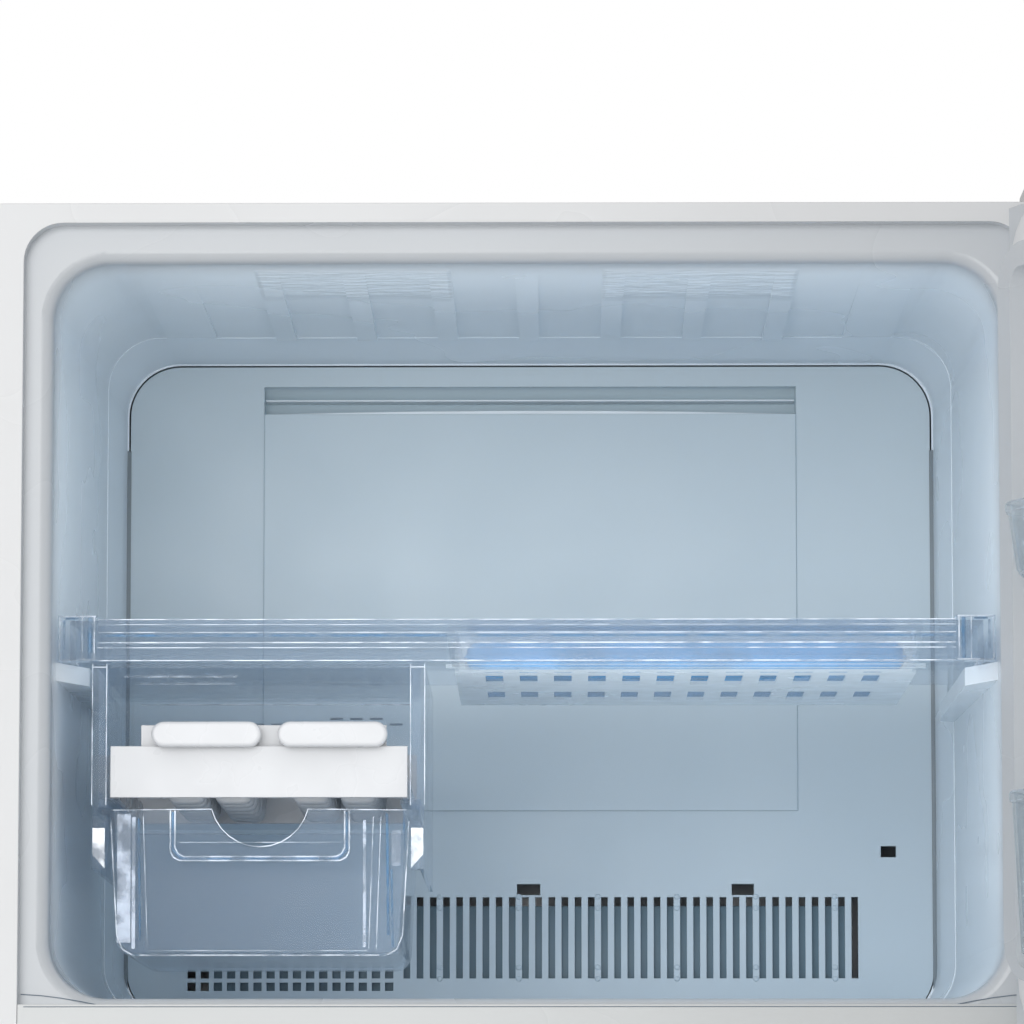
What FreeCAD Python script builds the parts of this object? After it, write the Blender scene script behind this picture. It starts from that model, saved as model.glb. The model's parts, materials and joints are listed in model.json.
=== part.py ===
"""Top freezer refrigerator, drawn with both doors standing open.

Millimetres. X runs to the right, Y to the back, Z up. The origin lies on the floor under the middle
of the cabinet. The cabinet's front plane is at minus half its depth, and depths named "in_" are
measured backwards from that plane.
"""
import FreeCAD, Part
import os
import re

SIZES = {
    # cabinet
    "cab_width": 700, "cab_depth": 600, "cab_height": 1700, "skin": 1.0, "base_height": 25,
    "side_flange": 18.6, "top_flange": 13, "wrapper_round": 3,
    "rear_inset": 3, "bay_height": 250, "bay_depth": 240, "bay_slope": 40,
    # liners
    "liner": 2.5, "ledge_set": 12, "ledge_thick": 13, "side_ledge": 18.4, "top_ledge": 25,
    "lip_round": 8, "ledge_corner": 26, "cavity_corner": 38, "side_draft": 11, "ceiling_rise": 5,
    "freezer_floor": 1176, "freezer_deep": 430, "slope_start": 357, "evap_space": 105,
    "panel_inset": 20, "panel_drop": 5.3, "panel_thick": 3, "panel_gap": 1.2,
    "mullion_top": 1171.5, "mullion_low": 1098, "fridge_ceiling": 1090, "fridge_floor": 96,
    "fridge_deep": 490, "fridge_draft": 8, "fridge_step_deep": 335, "fridge_step": 290,
    "fridge_corner": 30,
    # ceiling ribs
    "rib_pitch": 58.2, "rib_width": 16, "rib_drop": 4, "rib_start": 30, "rib_stop": 345,
    "wing_half": 225, "wing_wide": 36, "wing_drop": 2,
    # evaporator cover
    "slot_half": 195, "slot_low": 1621.7, "slot_high": 1642, "field_raise": 1.4, "field_low": 1330,
    "grille_left": -92, "grille_low": 1208, "grille_high": 1267, "bar_pitch": 9.57, "bar_gap": 4.8,
    "hole_side": 6, "hole_pitch": 9.57, "hole_left": -249, "hole_low": 1208, "clip_high": 8,
    # freezer shelf
    "shelf_gap": 3, "shelf_low": 1400, "shelf_high": 1428, "in_rail": 40, "rail_thick": 10,
    "shelf_back": 350, "plate": 4, "bracket_wide": 26, "support_drop": 12, "support_wide": 20,
    "support_start": 46, "support_ramp": 40,
    # ice maker
    "ice_left": -287.7, "ice_right": -67.7, "housing_low": 1263, "in_housing": 58,
    "housing_back": 300, "housing_wall": 3, "bar_low": 1310.7, "bar_high": 1344.7,
    "bar_left": -276, "bar_right": -79, "lever_long": 72.7, "lever_high": 16.7, "lever_z": 1352,
    "lever_one": -212, "lever_two": -128.4, "lever_thick": 9, "twist_half_top": 31.5,
    "twist_half_low": 25, "twist_rim": 6, "twist_deep": 43, "in_twist": 76, "twist_long": 190,
    "pin_radius": 4, "rest_rail": 3, "cube_wall": 2.2, "cube_rows": 6, "spill_deep": 7, "frame_wall": 4,
    "bin_low": 1206, "bin_high": 1303.3, "bin_left": -276.4, "bin_right": -77.7, "bin_wall": 2.5,
    "bin_long": 226, "post_wide": 9.4, "rim_wide": 5.8, "cut_radius": 34,
    # cool pack and its tray
    "tray_left": -47.7, "tray_right": 259, "tray_low": 1394, "tray_high": 1422, "in_tray": 60,
    "tray_long": 230, "tray_wall": 2.5, "slit_wide": 12, "slit_long": 62, "slit_pitch": 23,
    "slit_first": -28, "in_slit_one": 80, "in_slit_two": 192, "pack_gap": 3, "pack_high": 20,
    # refrigerator compartment
    "glass": 4, "in_glass": 104, "glass_long": 370, "glass_one": 480, "glass_two": 650, "glass_three": 830,
    "rest_high": 10, "cover_z": 330, "crisper_high": 200, "crisper_gap": 6, "in_crisper": 96, "crisper_long": 225,
    "crisper_wall": 2.5, "duct_half": 90, "duct_thick": 12, "duct_low": 420,
    "knob_radius": 19, "box_half": 110, "box_high": 34, "box_long": 120,
    # cold and warm sides
    "fan_radius": 48, "fan_high": 1560, "fin_pitch": 20, "fin_count": 23, "tube_radius": 4,
    "comp_radius": 62, "comp_high": 120,
    # doors
    "hinge_inset": 10, "hinge_ahead": 34, "door_thick": 48, "pin_to_back": 20, "gasket_thick": 13.7,
    "gasket_wide": 26, "gasket_edge": 20, "dyke_edge": 46, "dyke_high": 37, "dyke_wide": 16, "dyke_sill": 8,
    "door_round": 10, "door_panel": 2.5, "door_drop": 10, "door_split": 1137, "door_gap": 9,
    "door_low": 62, "open_angle": 115, "hinge_pin": 4, "hinge_plate": 4, "pin_long": 18,
    "door_bin_wall": 2.5, "door_bin_edge": 70, "upper_reach": 80, "lower_reach": 79, "fridge_reach": 86,
    "handle_long": 260, "handle_out": 34, "handle_bar": 16,
    # feet and rollers
    "foot_radius": 17, "roller_radius": 16, "roller_wide": 22,
}

doc = FreeCAD.newDocument("TopFreezerRefrigerator")
sheet = doc.addObject("Spreadsheet::Sheet", "Sizes")
for row, (alias, amount) in enumerate(SIZES.items(), 1):
    sheet.set("A%d" % row, alias)
    sheet.set("B%d" % row, str(amount))
    sheet.setAlias("B%d" % row, alias)
doc.recompute()

NODES = []
WORD = re.compile(r"\b[a-z][a-z_]+\b")


def size(alias):
    """The present value of one cell of the sheet."""
    return float(sheet.get(alias))


def bound(text):
    """Turn words of the sheet into expression references."""
    return WORD.sub(lambda found: "Sizes." + found.group(0), str(text))


def bind(thing, **values):
    for name, text in values.items():
        thing.setExpression(name, bound(text))
    return thing


def place(thing, x_at, y_at, z_at):
    for axis, text in zip("xyz", (x_at, y_at, z_at)):
        thing.setExpression("Placement.Base." + axis, bound(text))
    return thing


def node(label, thing):
    """Keep one finished sub-part under the name of its file."""
    thing.Label = label
    NODES.append(thing)
    return thing


def box(x_low, x_high, y_low, y_high, z_low, z_high):
    made = doc.addObject("Part::Box", "Box")
    bind(made, Length=f"({x_high})-({x_low})", Width=f"({y_high})-({y_low})")
    bind(made, Height=f"({z_high})-({z_low})")
    return place(made, x_low, y_low, z_low)


def wedge_back(y_low, front, y_high, back):
    """A block whose X and Z limits change from the front rectangle to the back one."""
    made = doc.addObject("Part::Wedge", "Wedge")
    bind(made, Ymin=y_low, Ymax=y_high)
    bind(made, Xmin=front[0], Xmax=front[1], Zmin=front[2], Zmax=front[3])
    bind(made, X2min=back[0], X2max=back[1], Z2min=back[2], Z2max=back[3])
    return made


def wedge_up(z_low, under, z_high, over):
    """A block whose X and Y limits change from the lower rectangle to the upper one."""
    made = doc.addObject("Part::Wedge", "Taper")
    bind(made, Ymin=z_low, Ymax=z_high)
    bind(made, Xmin=under[0], Xmax=under[1], Zmin=f"-({under[3]})", Zmax=f"-({under[2]})")
    bind(made, X2min=over[0], X2max=over[1], Z2min=f"-({over[3]})", Z2max=f"-({over[2]})")
    made.Placement = FreeCAD.Placement(FreeCAD.Vector(), FreeCAD.Rotation(FreeCAD.Vector(1, 0, 0), 90))
    return made


TURNS = {
    "X": FreeCAD.Rotation(FreeCAD.Vector(0, 1, 0), 90),
    "Y": FreeCAD.Rotation(FreeCAD.Vector(1, 0, 0), -90),
    "Z": FreeCAD.Rotation(),
}


def rod(axis, x_at, y_at, z_at, radius, length):
    """A cylinder that starts at a point and runs along +X, +Y or +Z."""
    made = doc.addObject("Part::Cylinder", "Rod")
    made.Placement = FreeCAD.Placement(FreeCAD.Vector(), TURNS[axis])
    bind(made, Radius=radius, Height=length)
    return place(made, x_at, y_at, z_at)


def fuse(*parts):
    if len(parts) == 1:
        return parts[0]
    made = doc.addObject("Part::MultiFuse", "Fuse")
    made.Shapes = list(parts)
    return made


def group(*parts):
    made = doc.addObject("Part::Compound", "Group")
    made.Links = list(parts)
    return made


def cut(base, *tools):
    made = doc.addObject("Part::Cut", "Cut")
    made.Base = base
    made.Tool = tools[0] if len(tools) == 1 else fuse(*tools)
    return made


def common(base, tool):
    made = doc.addObject("Part::Common", "Common")
    made.Base = base
    made.Tool = tool
    return made


def fillet(base, radius, chosen):
    """Round the edges that a test of their box picks out."""
    doc.recompute()
    edges = []
    for number, edge in enumerate(base.Shape.Edges, 1):
        if chosen(edge.BoundBox):
            edges.append((number, radius, radius))
    made = doc.addObject("Part::Fillet", "Round")
    made.Base = base
    made.Edges = edges
    return made


def along(axis):
    """Picks the straight edges that run mostly along one axis."""
    def chosen(limits):
        spans = {"X": limits.XLength, "Y": limits.YLength, "Z": limits.ZLength}
        others = [span for name, span in spans.items() if name != axis]
        return spans[axis] > 3 * max(others)
    return chosen


def turned(label, thing):
    """A door piece, drawn closed, swung open about the hinge axis."""
    made = doc.addObject("Part::Compound", "Open")
    made.Links = [thing]
    swing = FreeCAD.Rotation(FreeCAD.Vector(0, 0, 1), size("open_angle"))
    pivot = FreeCAD.Vector(size("cab_width") / 2 - size("hinge_inset"),
                           -size("cab_depth") / 2 - size("hinge_ahead"), 0)
    made.Placement = FreeCAD.Placement(FreeCAD.Vector(), swing, pivot)
    return node(label, made)


HALF = "cab_width/2"
FRONT = "-cab_depth/2"
BACK = "cab_depth/2"
INNER = "(cab_width/2-skin)"
FLANGE_IN = "(cab_width/2-side_flange)"
OPENING = "(cab_width/2-side_flange-side_ledge)"
CEILING = "(cab_height-top_flange-top_ledge)"
PANEL_HALF = f"({OPENING}-panel_inset)"
PANEL_TOP = f"({CEILING}-panel_drop)"
SHELF_HALF = f"({OPENING}-shelf_gap)"
DOOR_TOP = "(cab_height-door_drop)"
REAR = "(cab_depth/2-rear_inset)"
FREEZER_END = "(freezer_deep+evap_space)"
SWITCH_X = "(cab_width/2-side_flange-110)"


def at(depth):
    """The Y of a depth behind the front plane."""
    return f"(-cab_depth/2+{depth})"


# ---------------------------------------------------------------- cabinet

def outer_wrapper():
    shell = fillet(box(f"-{HALF}", HALF, FRONT, BACK, "base_height", "cab_height"),
                   size("wrapper_round"),
                   lambda limits: limits.YLength > 10 and limits.ZMin > size("cab_height") - 1)
    hollow = box(f"-{INNER}", INNER, at("skin"), f"{BACK}+1", "base_height-1", "cab_height-skin")
    mouth = fillet(box(f"-{FLANGE_IN}", FLANGE_IN, f"{FRONT}-1", at("skin+1"), "base_height-1",
                       "cab_height-top_flange"),
                   size("ledge_corner"),
                   lambda limits: limits.YLength > 1 and limits.ZMin > size("cab_height") / 2
                   and limits.XLength < 1 and limits.ZLength < 1)
    return node("outer_wrapper", cut(shell, hollow, mouth))


def rear_sheets():
    low = "base_height+skin"
    panel = box(f"-{INNER}", INNER, f"{REAR}-skin", REAR, "bay_height", "cab_height-skin")
    roof = box(f"-{INNER}", INNER, f"{BACK}-bay_depth+bay_slope", f"{REAR}-skin", "bay_height",
               "bay_height+skin")
    wall = box(f"-{INNER}", INNER, f"{BACK}-bay_depth", f"{BACK}-bay_depth+skin", low,
               "bay_height-bay_slope")
    block = wedge_up("bay_height-bay_slope", (f"-{INNER}", INNER, f"{BACK}-bay_depth",
                                              f"{BACK}-bay_depth+skin"),
                     "bay_height+skin", (f"-{INNER}", INNER, f"{BACK}-bay_depth+bay_slope",
                                         f"{BACK}-bay_depth+bay_slope+skin"))
    return node("rear_panel", fuse(panel, roof, wall, block))


def base_pan():
    floor = box(f"-{INNER}", INNER, at("30"), BACK, "base_height", "base_height+skin")
    front_lip = box(f"-{INNER}", INNER, at("30"), at("30+skin"), "base_height+skin",
                    "base_height+24")
    axles = []
    for side in ("-1", "1"):
        post = f"{side}*(cab_width/2-46)"
        axles.append(rod("X", f"{post}-roller_wide/2-6", f"{BACK}-60", "roller_radius",
                         "pin_radius", "roller_wide+12"))
        for reach in ("-roller_wide/2-5", "+roller_wide/2+2"):
            axles.append(box(f"{post}{reach}", f"{post}{reach}+3", f"{BACK}-70", f"{BACK}-50",
                             "roller_radius-6", "base_height+skin"))
    well = [box(f"{side}*(cab_width/2-46)-roller_wide/2-1.5",
                f"{side}*(cab_width/2-46)+roller_wide/2+1.5",
                f"{BACK}-62-roller_radius", f"{BACK}-58+roller_radius", "base_height-1",
                "base_height+skin+1") for side in ("-1", "1")]
    nuts = [rod("Z", f"{side}*(cab_width/2-50)", at("60"), "base_height", "9", "22")
            for side in ("-1", "1")]
    bores = [rod("Z", f"{side}*(cab_width/2-50)", at("60"), "base_height-5", "5.3", "60")
             for side in ("-1", "1")]
    return node("base_pan", cut(fuse(cut(floor, group(*well)), front_lip, *axles, *nuts),
                                group(*bores)))


def freezer_outer():
    """The outside of the freezer liner, which the foam meets."""
    return wedge_back(at("ledge_set+1"),
                      (f"-{OPENING}-liner", f"{OPENING}+liner", "freezer_floor-liner",
                       f"{CEILING}+ceiling_rise+liner"),
                      at(f"{FREEZER_END}+liner"),
                      (f"-{OPENING}-liner+side_draft/2", f"{OPENING}+liner-side_draft/2",
                       "freezer_floor-liner", f"{CEILING}+ceiling_rise+liner"))


def fridge_outer():
    wide = f"({OPENING}+liner)"
    upper = box(f"-{wide}", wide, at("ledge_set+1"), at("fridge_deep+liner"), "fridge_step-liner",
                "fridge_ceiling+liner")
    lower = box(f"-{wide}", wide, at("ledge_set+1"), at("fridge_step_deep+liner"),
                "fridge_floor-liner", "fridge_step")
    return fuse(upper, lower)


def ledge_ring(low, high):
    ring = box(f"-{FLANGE_IN}-2", f"{FLANGE_IN}+2", at("ledge_set"),
               at("ledge_set+ledge_thick"), low, high)
    return ring


def cabinet_foam():
    block = box(f"-{INNER}", INNER, at("ledge_set+ledge_thick"), f"{REAR}-skin",
                "base_height+45", "cab_height-skin")
    bay = wedge_up("base_height+skin", (f"-{HALF}", HALF, f"{BACK}-bay_depth", f"{BACK}+1"),
                   "bay_height-bay_slope", (f"-{HALF}", HALF, f"{BACK}-bay_depth", f"{BACK}+1"))
    bay_top = wedge_up("bay_height-bay_slope", (f"-{HALF}", HALF, f"{BACK}-bay_depth", f"{BACK}+1"),
                       "bay_height+skin",
                       (f"-{HALF}", HALF, f"{BACK}-bay_depth+bay_slope", f"{BACK}+1"))
    return node("cabinet_foam", cut(block, freezer_outer(), fridge_outer(), bay, bay_top))


def freezer_liner():
    ring = fillet(ledge_ring("mullion_top-20", "cab_height-top_flange+2"),
                  size("ledge_corner") + 2,
                  lambda limits: limits.YLength > 10 and limits.ZMin > size("cab_height") / 2
                  + size("freezer_floor") / 2 and limits.XLength < 1)
    edge = fillet(box(f"-{FLANGE_IN}-2", f"{FLANGE_IN}+2", at("skin"), at("ledge_set+2"),
                      "mullion_top-20", "cab_height-top_flange+2"),
                  size("ledge_corner") + 2,
                  lambda limits: limits.YLength > 10 and limits.XLength < 1
                  and limits.ZMin > size("freezer_floor") + 100)
    edge_hole = fillet(box(f"-{FLANGE_IN}", FLANGE_IN, at("skin-1"), at("ledge_set+3"),
                           "mullion_top-21", "cab_height-top_flange"),
                       size("ledge_corner"),
                       lambda limits: limits.YLength > 10 and limits.XLength < 1
                       and limits.ZMin > size("freezer_floor") + 100)
    narrow = "side_draft*slope_start/freezer_deep"
    front_room = fillet(wedge_back(at("ledge_set-2"),
                                   (f"-{OPENING}", OPENING, "freezer_floor", CEILING),
                                   at("slope_start"),
                                   (f"-{OPENING}+{narrow}", f"{OPENING}-{narrow}",
                                    "freezer_floor", f"{CEILING}+ceiling_rise")),
                        size("cavity_corner"), along("Y"))
    slope_room = fillet(wedge_back(at("slope_start-0.5"),
                                   (f"-{OPENING}+{narrow}+0.3", f"{OPENING}-{narrow}-0.3",
                                    "freezer_floor+0.2", f"{CEILING}+ceiling_rise-0.3"),
                                   at("freezer_deep"),
                                   (f"-{PANEL_HALF}-panel_gap-1", f"{PANEL_HALF}+panel_gap+1",
                                    "freezer_floor+0.2", f"{PANEL_TOP}+panel_gap+1")),
                        size("cavity_corner"), along("Y"))
    back_room = fillet(box(f"-{PANEL_HALF}-panel_gap", f"{PANEL_HALF}+panel_gap",
                           at("freezer_deep-1"), at(FREEZER_END), "freezer_floor+0.6",
                           f"{PANEL_TOP}+panel_gap"),
                       size("cavity_corner"), along("Y"))
    ribs = []
    rib_front = f"{CEILING}+ceiling_rise*rib_start/slope_start+0.3"
    rib_back = f"{CEILING}+ceiling_rise*rib_stop/slope_start"
    over = (f"{CEILING}+4", f"{CEILING}+ceiling_rise+2")
    for index in range(-3, 4):
        middle = f"{index}*rib_pitch"
        ribs.append(wedge_back(at("rib_start"),
                               (f"{middle}-rib_width/2", f"{middle}+rib_width/2", rib_front,
                                over[0]),
                               at("rib_stop"),
                               (f"{middle}-rib_width/2+1", f"{middle}+rib_width/2-1",
                                f"{rib_back}-rib_drop", over[1])))
    for side in (-1, 1):
        near = f"{side}*wing_half"
        far = f"{side}*(wing_half+wing_wide)"
        limits = (near, far) if side > 0 else (far, near)
        ribs.append(wedge_back(at("rib_start"), (*limits, rib_front, over[0]),
                               at("rib_stop"), (*limits, f"{rib_back}-wing_drop", over[1])))
    supports = []
    for side in (-1, 1):
        wall = f"{side}*({OPENING}+1)"
        near = f"{side}*({OPENING}-1)"
        inner = f"{side}*({OPENING}-support_wide)"
        slim = (near, wall) if side > 0 else (wall, near)
        full = (inner, wall) if side > 0 else (wall, inner)
        levels = ("shelf_low-support_drop-0.3", "shelf_low-0.3")
        supports.append(fuse(wedge_back(at("support_start"), (*slim, *levels),
                                        at("support_start+support_ramp"), (*full, *levels)),
                             box(*full, at("support_start+support_ramp"), at("shelf_back"),
                                 *levels)))
    shell = cut(fuse(freezer_outer(), ring), fuse(front_room, slope_room, back_room))
    front = size("ledge_set") - size("cab_depth") / 2
    ceiling = size("cab_height") - size("top_flange") - size("top_ledge")

    def lip(limits):
        flat = abs(limits.YMin - front) < 0.05 and abs(limits.YMax - front) < 0.05
        return flat and limits.ZMin > size("freezer_floor") - 1 and limits.ZMax < ceiling + 1

    lipped = fillet(shell, size("lip_round"), lip)
    return node("freezer_liner", fuse(lipped, cut(edge, edge_hole),
                                      common(group(*ribs, *supports), freezer_outer())))


def fridge_liner():
    ring = ledge_ring("base_height+45", "mullion_low+12")
    edges = fuse(box(f"-{FLANGE_IN}-2", f"-{FLANGE_IN}", at("skin"), at("ledge_set+2"),
                     "base_height+45", "mullion_top-20.5"),
                 box(FLANGE_IN, f"{FLANGE_IN}+2", at("skin"), at("ledge_set+2"),
                     "base_height+45", "mullion_top-20.5"))
    upper = fillet(wedge_back(at("ledge_set-1"),
                              (f"-{OPENING}", OPENING, "fridge_step", "fridge_ceiling"),
                              at("fridge_deep"),
                              (f"-{OPENING}+fridge_draft", f"{OPENING}-fridge_draft", "fridge_step",
                               "fridge_ceiling")),
                   size("fridge_corner"),
                   lambda limits: limits.YLength > 100 and limits.ZMin > size("fridge_step") + 50)
    lower = fillet(wedge_back(at("ledge_set-1"),
                              (f"-{OPENING}", OPENING, "fridge_floor", "fridge_step+1"),
                              at("fridge_step_deep"),
                              (f"-{OPENING}+fridge_draft", f"{OPENING}-fridge_draft",
                               "fridge_floor", "fridge_step+1")),
                   size("fridge_corner"),
                   lambda limits: limits.YLength > 100 and limits.ZMax < size("fridge_step") - 50)
    rests = []
    for level in ("glass_one", "glass_two", "glass_three", "cover_z"):
        for side in (-1, 1):
            outer = f"{side}*({OPENING}+1)"
            inner = f"{side}*({OPENING}-fridge_draft-14)"
            span = (inner, outer) if side > 0 else (outer, inner)
            deep = "fridge_step_deep-20" if level == "cover_z" else "in_glass+glass_long-4"
            rests.append(box(*span, at("in_glass"), at(deep), f"{level}-rest_high", level))
    shell = cut(fuse(fridge_outer(), ring), fuse(upper, lower))
    return node("fridge_liner", fuse(shell, edges, common(group(*rests), fridge_outer())))


def mullion_cover():
    plate = box(f"-{FLANGE_IN}+0.3", f"{FLANGE_IN}-0.3", FRONT, at("ledge_set-0.2"),
                "mullion_low", "mullion_top")
    hole = box(f"{SWITCH_X}+7.8", f"{SWITCH_X}+32.2", at("-1"), at("ledge_set+1"),
               "mullion_low+22.8", "mullion_low+39.2")
    return node("mullion_cover", cut(plate, hole))


# ---------------------------------------------------------------- freezer back

def clip_hole(x_low, x_high, z_low):
    return box(x_low, x_high, at("freezer_deep-5"), at("freezer_deep+panel_thick+5"), z_low,
               f"{z_low}+clip_high")


def freezer_back_panel():
    face = at("freezer_deep")
    behind = at("freezer_deep+panel_thick")
    plate = fillet(box(f"-{PANEL_HALF}", PANEL_HALF, face, behind, "freezer_floor+1",
                       PANEL_TOP),
                   size("cavity_corner") - size("panel_gap"),
                   along("Y"))
    field = box("-slot_half", "slot_half", at("freezer_deep-field_raise"), face, "field_low",
                "slot_low")
    soft_field = fillet(fuse(plate, field), size("field_raise") * 0.6,
                        lambda limits: limits.ZLength > 100 and limits.XLength < 0.1
                        and abs(limits.YMin + size("cab_depth") / 2 - size("freezer_deep")
                                + size("field_raise")) < 0.01)
    mouth = box("-slot_half", "slot_half", at("freezer_deep-5"), at("freezer_deep+20"), "slot_low",
                "slot_high")
    slots = []
    for index in range(35):
        left = f"grille_left+{index}*bar_pitch"
        slots.append(box(left, f"{left}+bar_gap", at("freezer_deep-5"), at("freezer_deep+20"),
                         "grille_low", "grille_high"))
    holes = []
    for index in range(16):
        for row, low in enumerate(("hole_low", "hole_low-hole_side*1.5")):
            left = f"hole_left+{index}*hole_pitch"
            holes.append(box(left, f"{left}+hole_side", at("freezer_deep-5"),
                             at("freezer_deep+20"), low, f"{low}+hole_side"))
    clips = [clip_hole("-9.6", "7.3", "grille_high+1.5"), clip_hole("146.5", "162.6", "grille_high+1.5"),
             clip_hole("255", "266", "grille_high+29")]
    return node("freezer_back_panel", cut(soft_field, group(mouth, *slots, *holes, *clips)))


def slot_louvre():
    vane = box("-slot_half+0.5", "slot_half-0.5", at("freezer_deep+0.5"), at("freezer_deep+16"),
               "(slot_low+slot_high)/2-0.9", "(slot_low+slot_high)/2+0.9")
    scoop = wedge_back(at("freezer_deep+panel_thick+0.3"),
                       ("-slot_half-3", "slot_half+3", "slot_low-8", "slot_low-0.4"),
                       at("freezer_deep+24"),
                       ("-slot_half-3", "slot_half+3", "slot_low+4", "slot_low+12"))
    roof = box("-slot_half-3", "slot_half+3", at("freezer_deep+panel_thick+0.3"),
               at("freezer_deep+24"), "slot_high+0.4", "slot_high+3")
    ends = [box(f"{side}*slot_half-{gap}", f"{side}*slot_half-{gap}+2.5",
                at("freezer_deep+panel_thick+0.3"), at("freezer_deep+24"), "slot_low-8",
                "slot_high+3") for side, gap in (("-1", "2.5"), ("1", "0"))]
    ties = [box(f"{side}*slot_half-{gap}", f"{side}*slot_half-{gap}+1.5",
                at("freezer_deep+panel_thick+0.3"), at("freezer_deep+16"),
                "(slot_low+slot_high)/2-2", "(slot_low+slot_high)/2+2")
            for side, gap in (("-1", "1"), ("1", "0.5"))]
    return node("slot_louvre", fuse(vane, scoop, roof, *ends, *ties))


def evaporator():
    fins = []
    for index in range(int(size("fin_count"))):
        left = f"({index}-(fin_count-1)/2)*fin_pitch-0.5"
        fins.append(box(left, f"{left}+1", at("freezer_deep+30"), at("freezer_deep+84"),
                        "1282", "1492"))
    tubes = []
    for index in range(6):
        level = f"1300+{index}*35"
        for reach in ("44", "70"):
            tubes.append(rod("X", "-fin_pitch*(fin_count+1)/2", at(f"freezer_deep+{reach}"), level,
                             "tube_radius", "fin_pitch*(fin_count+1)"))
    tail_x = "fin_pitch*(fin_count+0.6)/2"
    tail = [box(f"{side}*{tail_x}-2", f"{side}*{tail_x}+2", at("freezer_deep+36"),
                at(FREEZER_END), "1290", "1484") for side in ("-1", "1")]
    return node("evaporator", fuse(*fins, *tubes, *tail))


def fan():
    bracket = box("-fan_radius-14", "fan_radius+14", at("freezer_deep+52"), at("freezer_deep+54"),
                  "fan_high-fan_radius-8", "fan_high+fan_radius+8")
    hole = rod("Y", "0", at("freezer_deep+40"), "fan_high", "fan_radius+3", "30")
    posts = [box(f"{side}*(fan_radius+11)-3", f"{side}*(fan_radius+11)+3",
                 at("freezer_deep+54"), at(FREEZER_END), "fan_high-20", "fan_high+20")
             for side in ("-1", "1")]
    can = rod("Y", "0", at("freezer_deep+76"), "fan_high", "21", "evap_space-76")
    arms = box("-fan_radius-11", "fan_radius+11", at(f"{FREEZER_END}-6"), at(FREEZER_END),
               "fan_high-6", "fan_high+6")
    shaft = rod("Y", "0", at("freezer_deep+56"), "fan_high", "2", "20")
    node("fan_motor", fuse(cut(bracket, hole), can, arms, shaft, *posts))
    hub = rod("Y", "0", at("freezer_deep+54"), "fan_high", "11", "18")
    bore = rod("Y", "0", at("freezer_deep+50"), "fan_high", "2.1", "24")
    blades = []
    for index in range(5):
        blade = box("-11", "11", at("freezer_deep+61"), at("freezer_deep+63"), "fan_high+6",
                    "fan_high+fan_radius-2")
        doc.recompute()
        middle = FreeCAD.Vector(0, blade.Shape.BoundBox.Center.y, size("fan_high"))
        pitch = FreeCAD.Rotation(FreeCAD.Vector(0, 0, 1), 30)
        spin = FreeCAD.Rotation(FreeCAD.Vector(0, 1, 0), 72 * index)
        holder = group(blade)
        holder.Placement = FreeCAD.Placement(FreeCAD.Vector(), spin.multiply(pitch), middle)
        blades.append(holder)
    node("fan_blade", cut(fuse(hub, *blades), bore))


# ---------------------------------------------------------------- freezer shelf and ice maker

def freezer_shelf():
    plate = box(f"-{SHELF_HALF}+11", f"{SHELF_HALF}-11", at("in_rail+rail_thick"), at("shelf_back"),
                "shelf_high-plate", "shelf_high")
    sides = [box(f"{side}*({SHELF_HALF}-9)-2", f"{side}*({SHELF_HALF}-9)+2",
                 at("in_rail+rail_thick"), at("shelf_back"), "shelf_low", "shelf_high")
             for side in ("-1", "1")]
    rear = box(f"-{SHELF_HALF}+11", f"{SHELF_HALF}-11", at("shelf_back-4"), at("shelf_back"),
               "shelf_high-14", "shelf_high")
    node("freezer_shelf", fuse(plate, rear, *sides))
    wide = f"{SHELF_HALF}-bracket_wide"
    bracket = f"({SHELF_HALF}-bracket_wide/2)"
    rail = box(f"-({wide})", wide, at("in_rail+3"), at("in_rail+rail_thick"), "shelf_low",
               "shelf_high")
    ribs = [box(f"-({wide})", wide, at("in_rail"), at("in_rail+3"), f"shelf_low+{low}",
                f"shelf_low+{high}") for low, high in ((0, 4), (9, 12), (15, 19), (24, 28))]
    blocks = [box(f"{side}*{bracket}-bracket_wide/2",
                  f"{side}*{bracket}+bracket_wide/2", at("in_rail-3"),
                  at("in_rail+rail_thick"), "shelf_low", "shelf_high+2") for side in ("-1", "1")]
    lugs = [box(f"{side}*{bracket}-5", f"{side}*{bracket}+5",
                at("in_rail-6"), at("in_rail-3"), "shelf_low+6", "shelf_high-4")
            for side in ("-1", "1")]
    node("shelf_rail", fuse(rail, *ribs, *blocks, *lugs))


def ice_housing():
    top = box("ice_left", "ice_right", at("in_housing"), at("housing_back"),
              "shelf_low-housing_wall", "shelf_low")
    parts = [top, box("ice_left", "ice_right", at("housing_back-housing_wall"), at("housing_back"),
                      "bar_low-4", "shelf_low")]
    for side in (1, -1):
        wall = "ice_left" if side > 0 else "ice_right-housing_wall"
        parts.append(box(wall, f"{wall}+housing_wall", at("in_housing"), at("housing_back"),
                         "housing_low", "shelf_low"))
        edge = "ice_left+housing_wall" if side > 0 else "bar_right-5"
        stop = "bar_left+5" if side > 0 else "ice_right-housing_wall"
        parts.append(box(edge, stop, at("in_housing+8"), at("housing_back-housing_wall"),
                         "bar_low-rest_rail-0.4", "bar_low-0.4"))
        edge = "ice_left+housing_wall" if side > 0 else "bin_right+1.6"
        stop = "bin_left-1.6" if side > 0 else "ice_right-housing_wall"
        parts.append(box(edge, stop, at("in_housing+3"), at("housing_back-housing_wall"),
                         "bin_high-9", "bin_high-4.5"))
        post = "ice_left" if side > 0 else "ice_right-post_wide"
        for low, high in (("housing_low", "bin_high-4.5"), ("bin_high+0.6", "shelf_low")):
            parts.append(box(post, f"{post}+post_wide", at("in_housing-8"), at("in_housing+6"),
                             low, high))
    return node("ice_housing", fuse(*parts))


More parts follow.
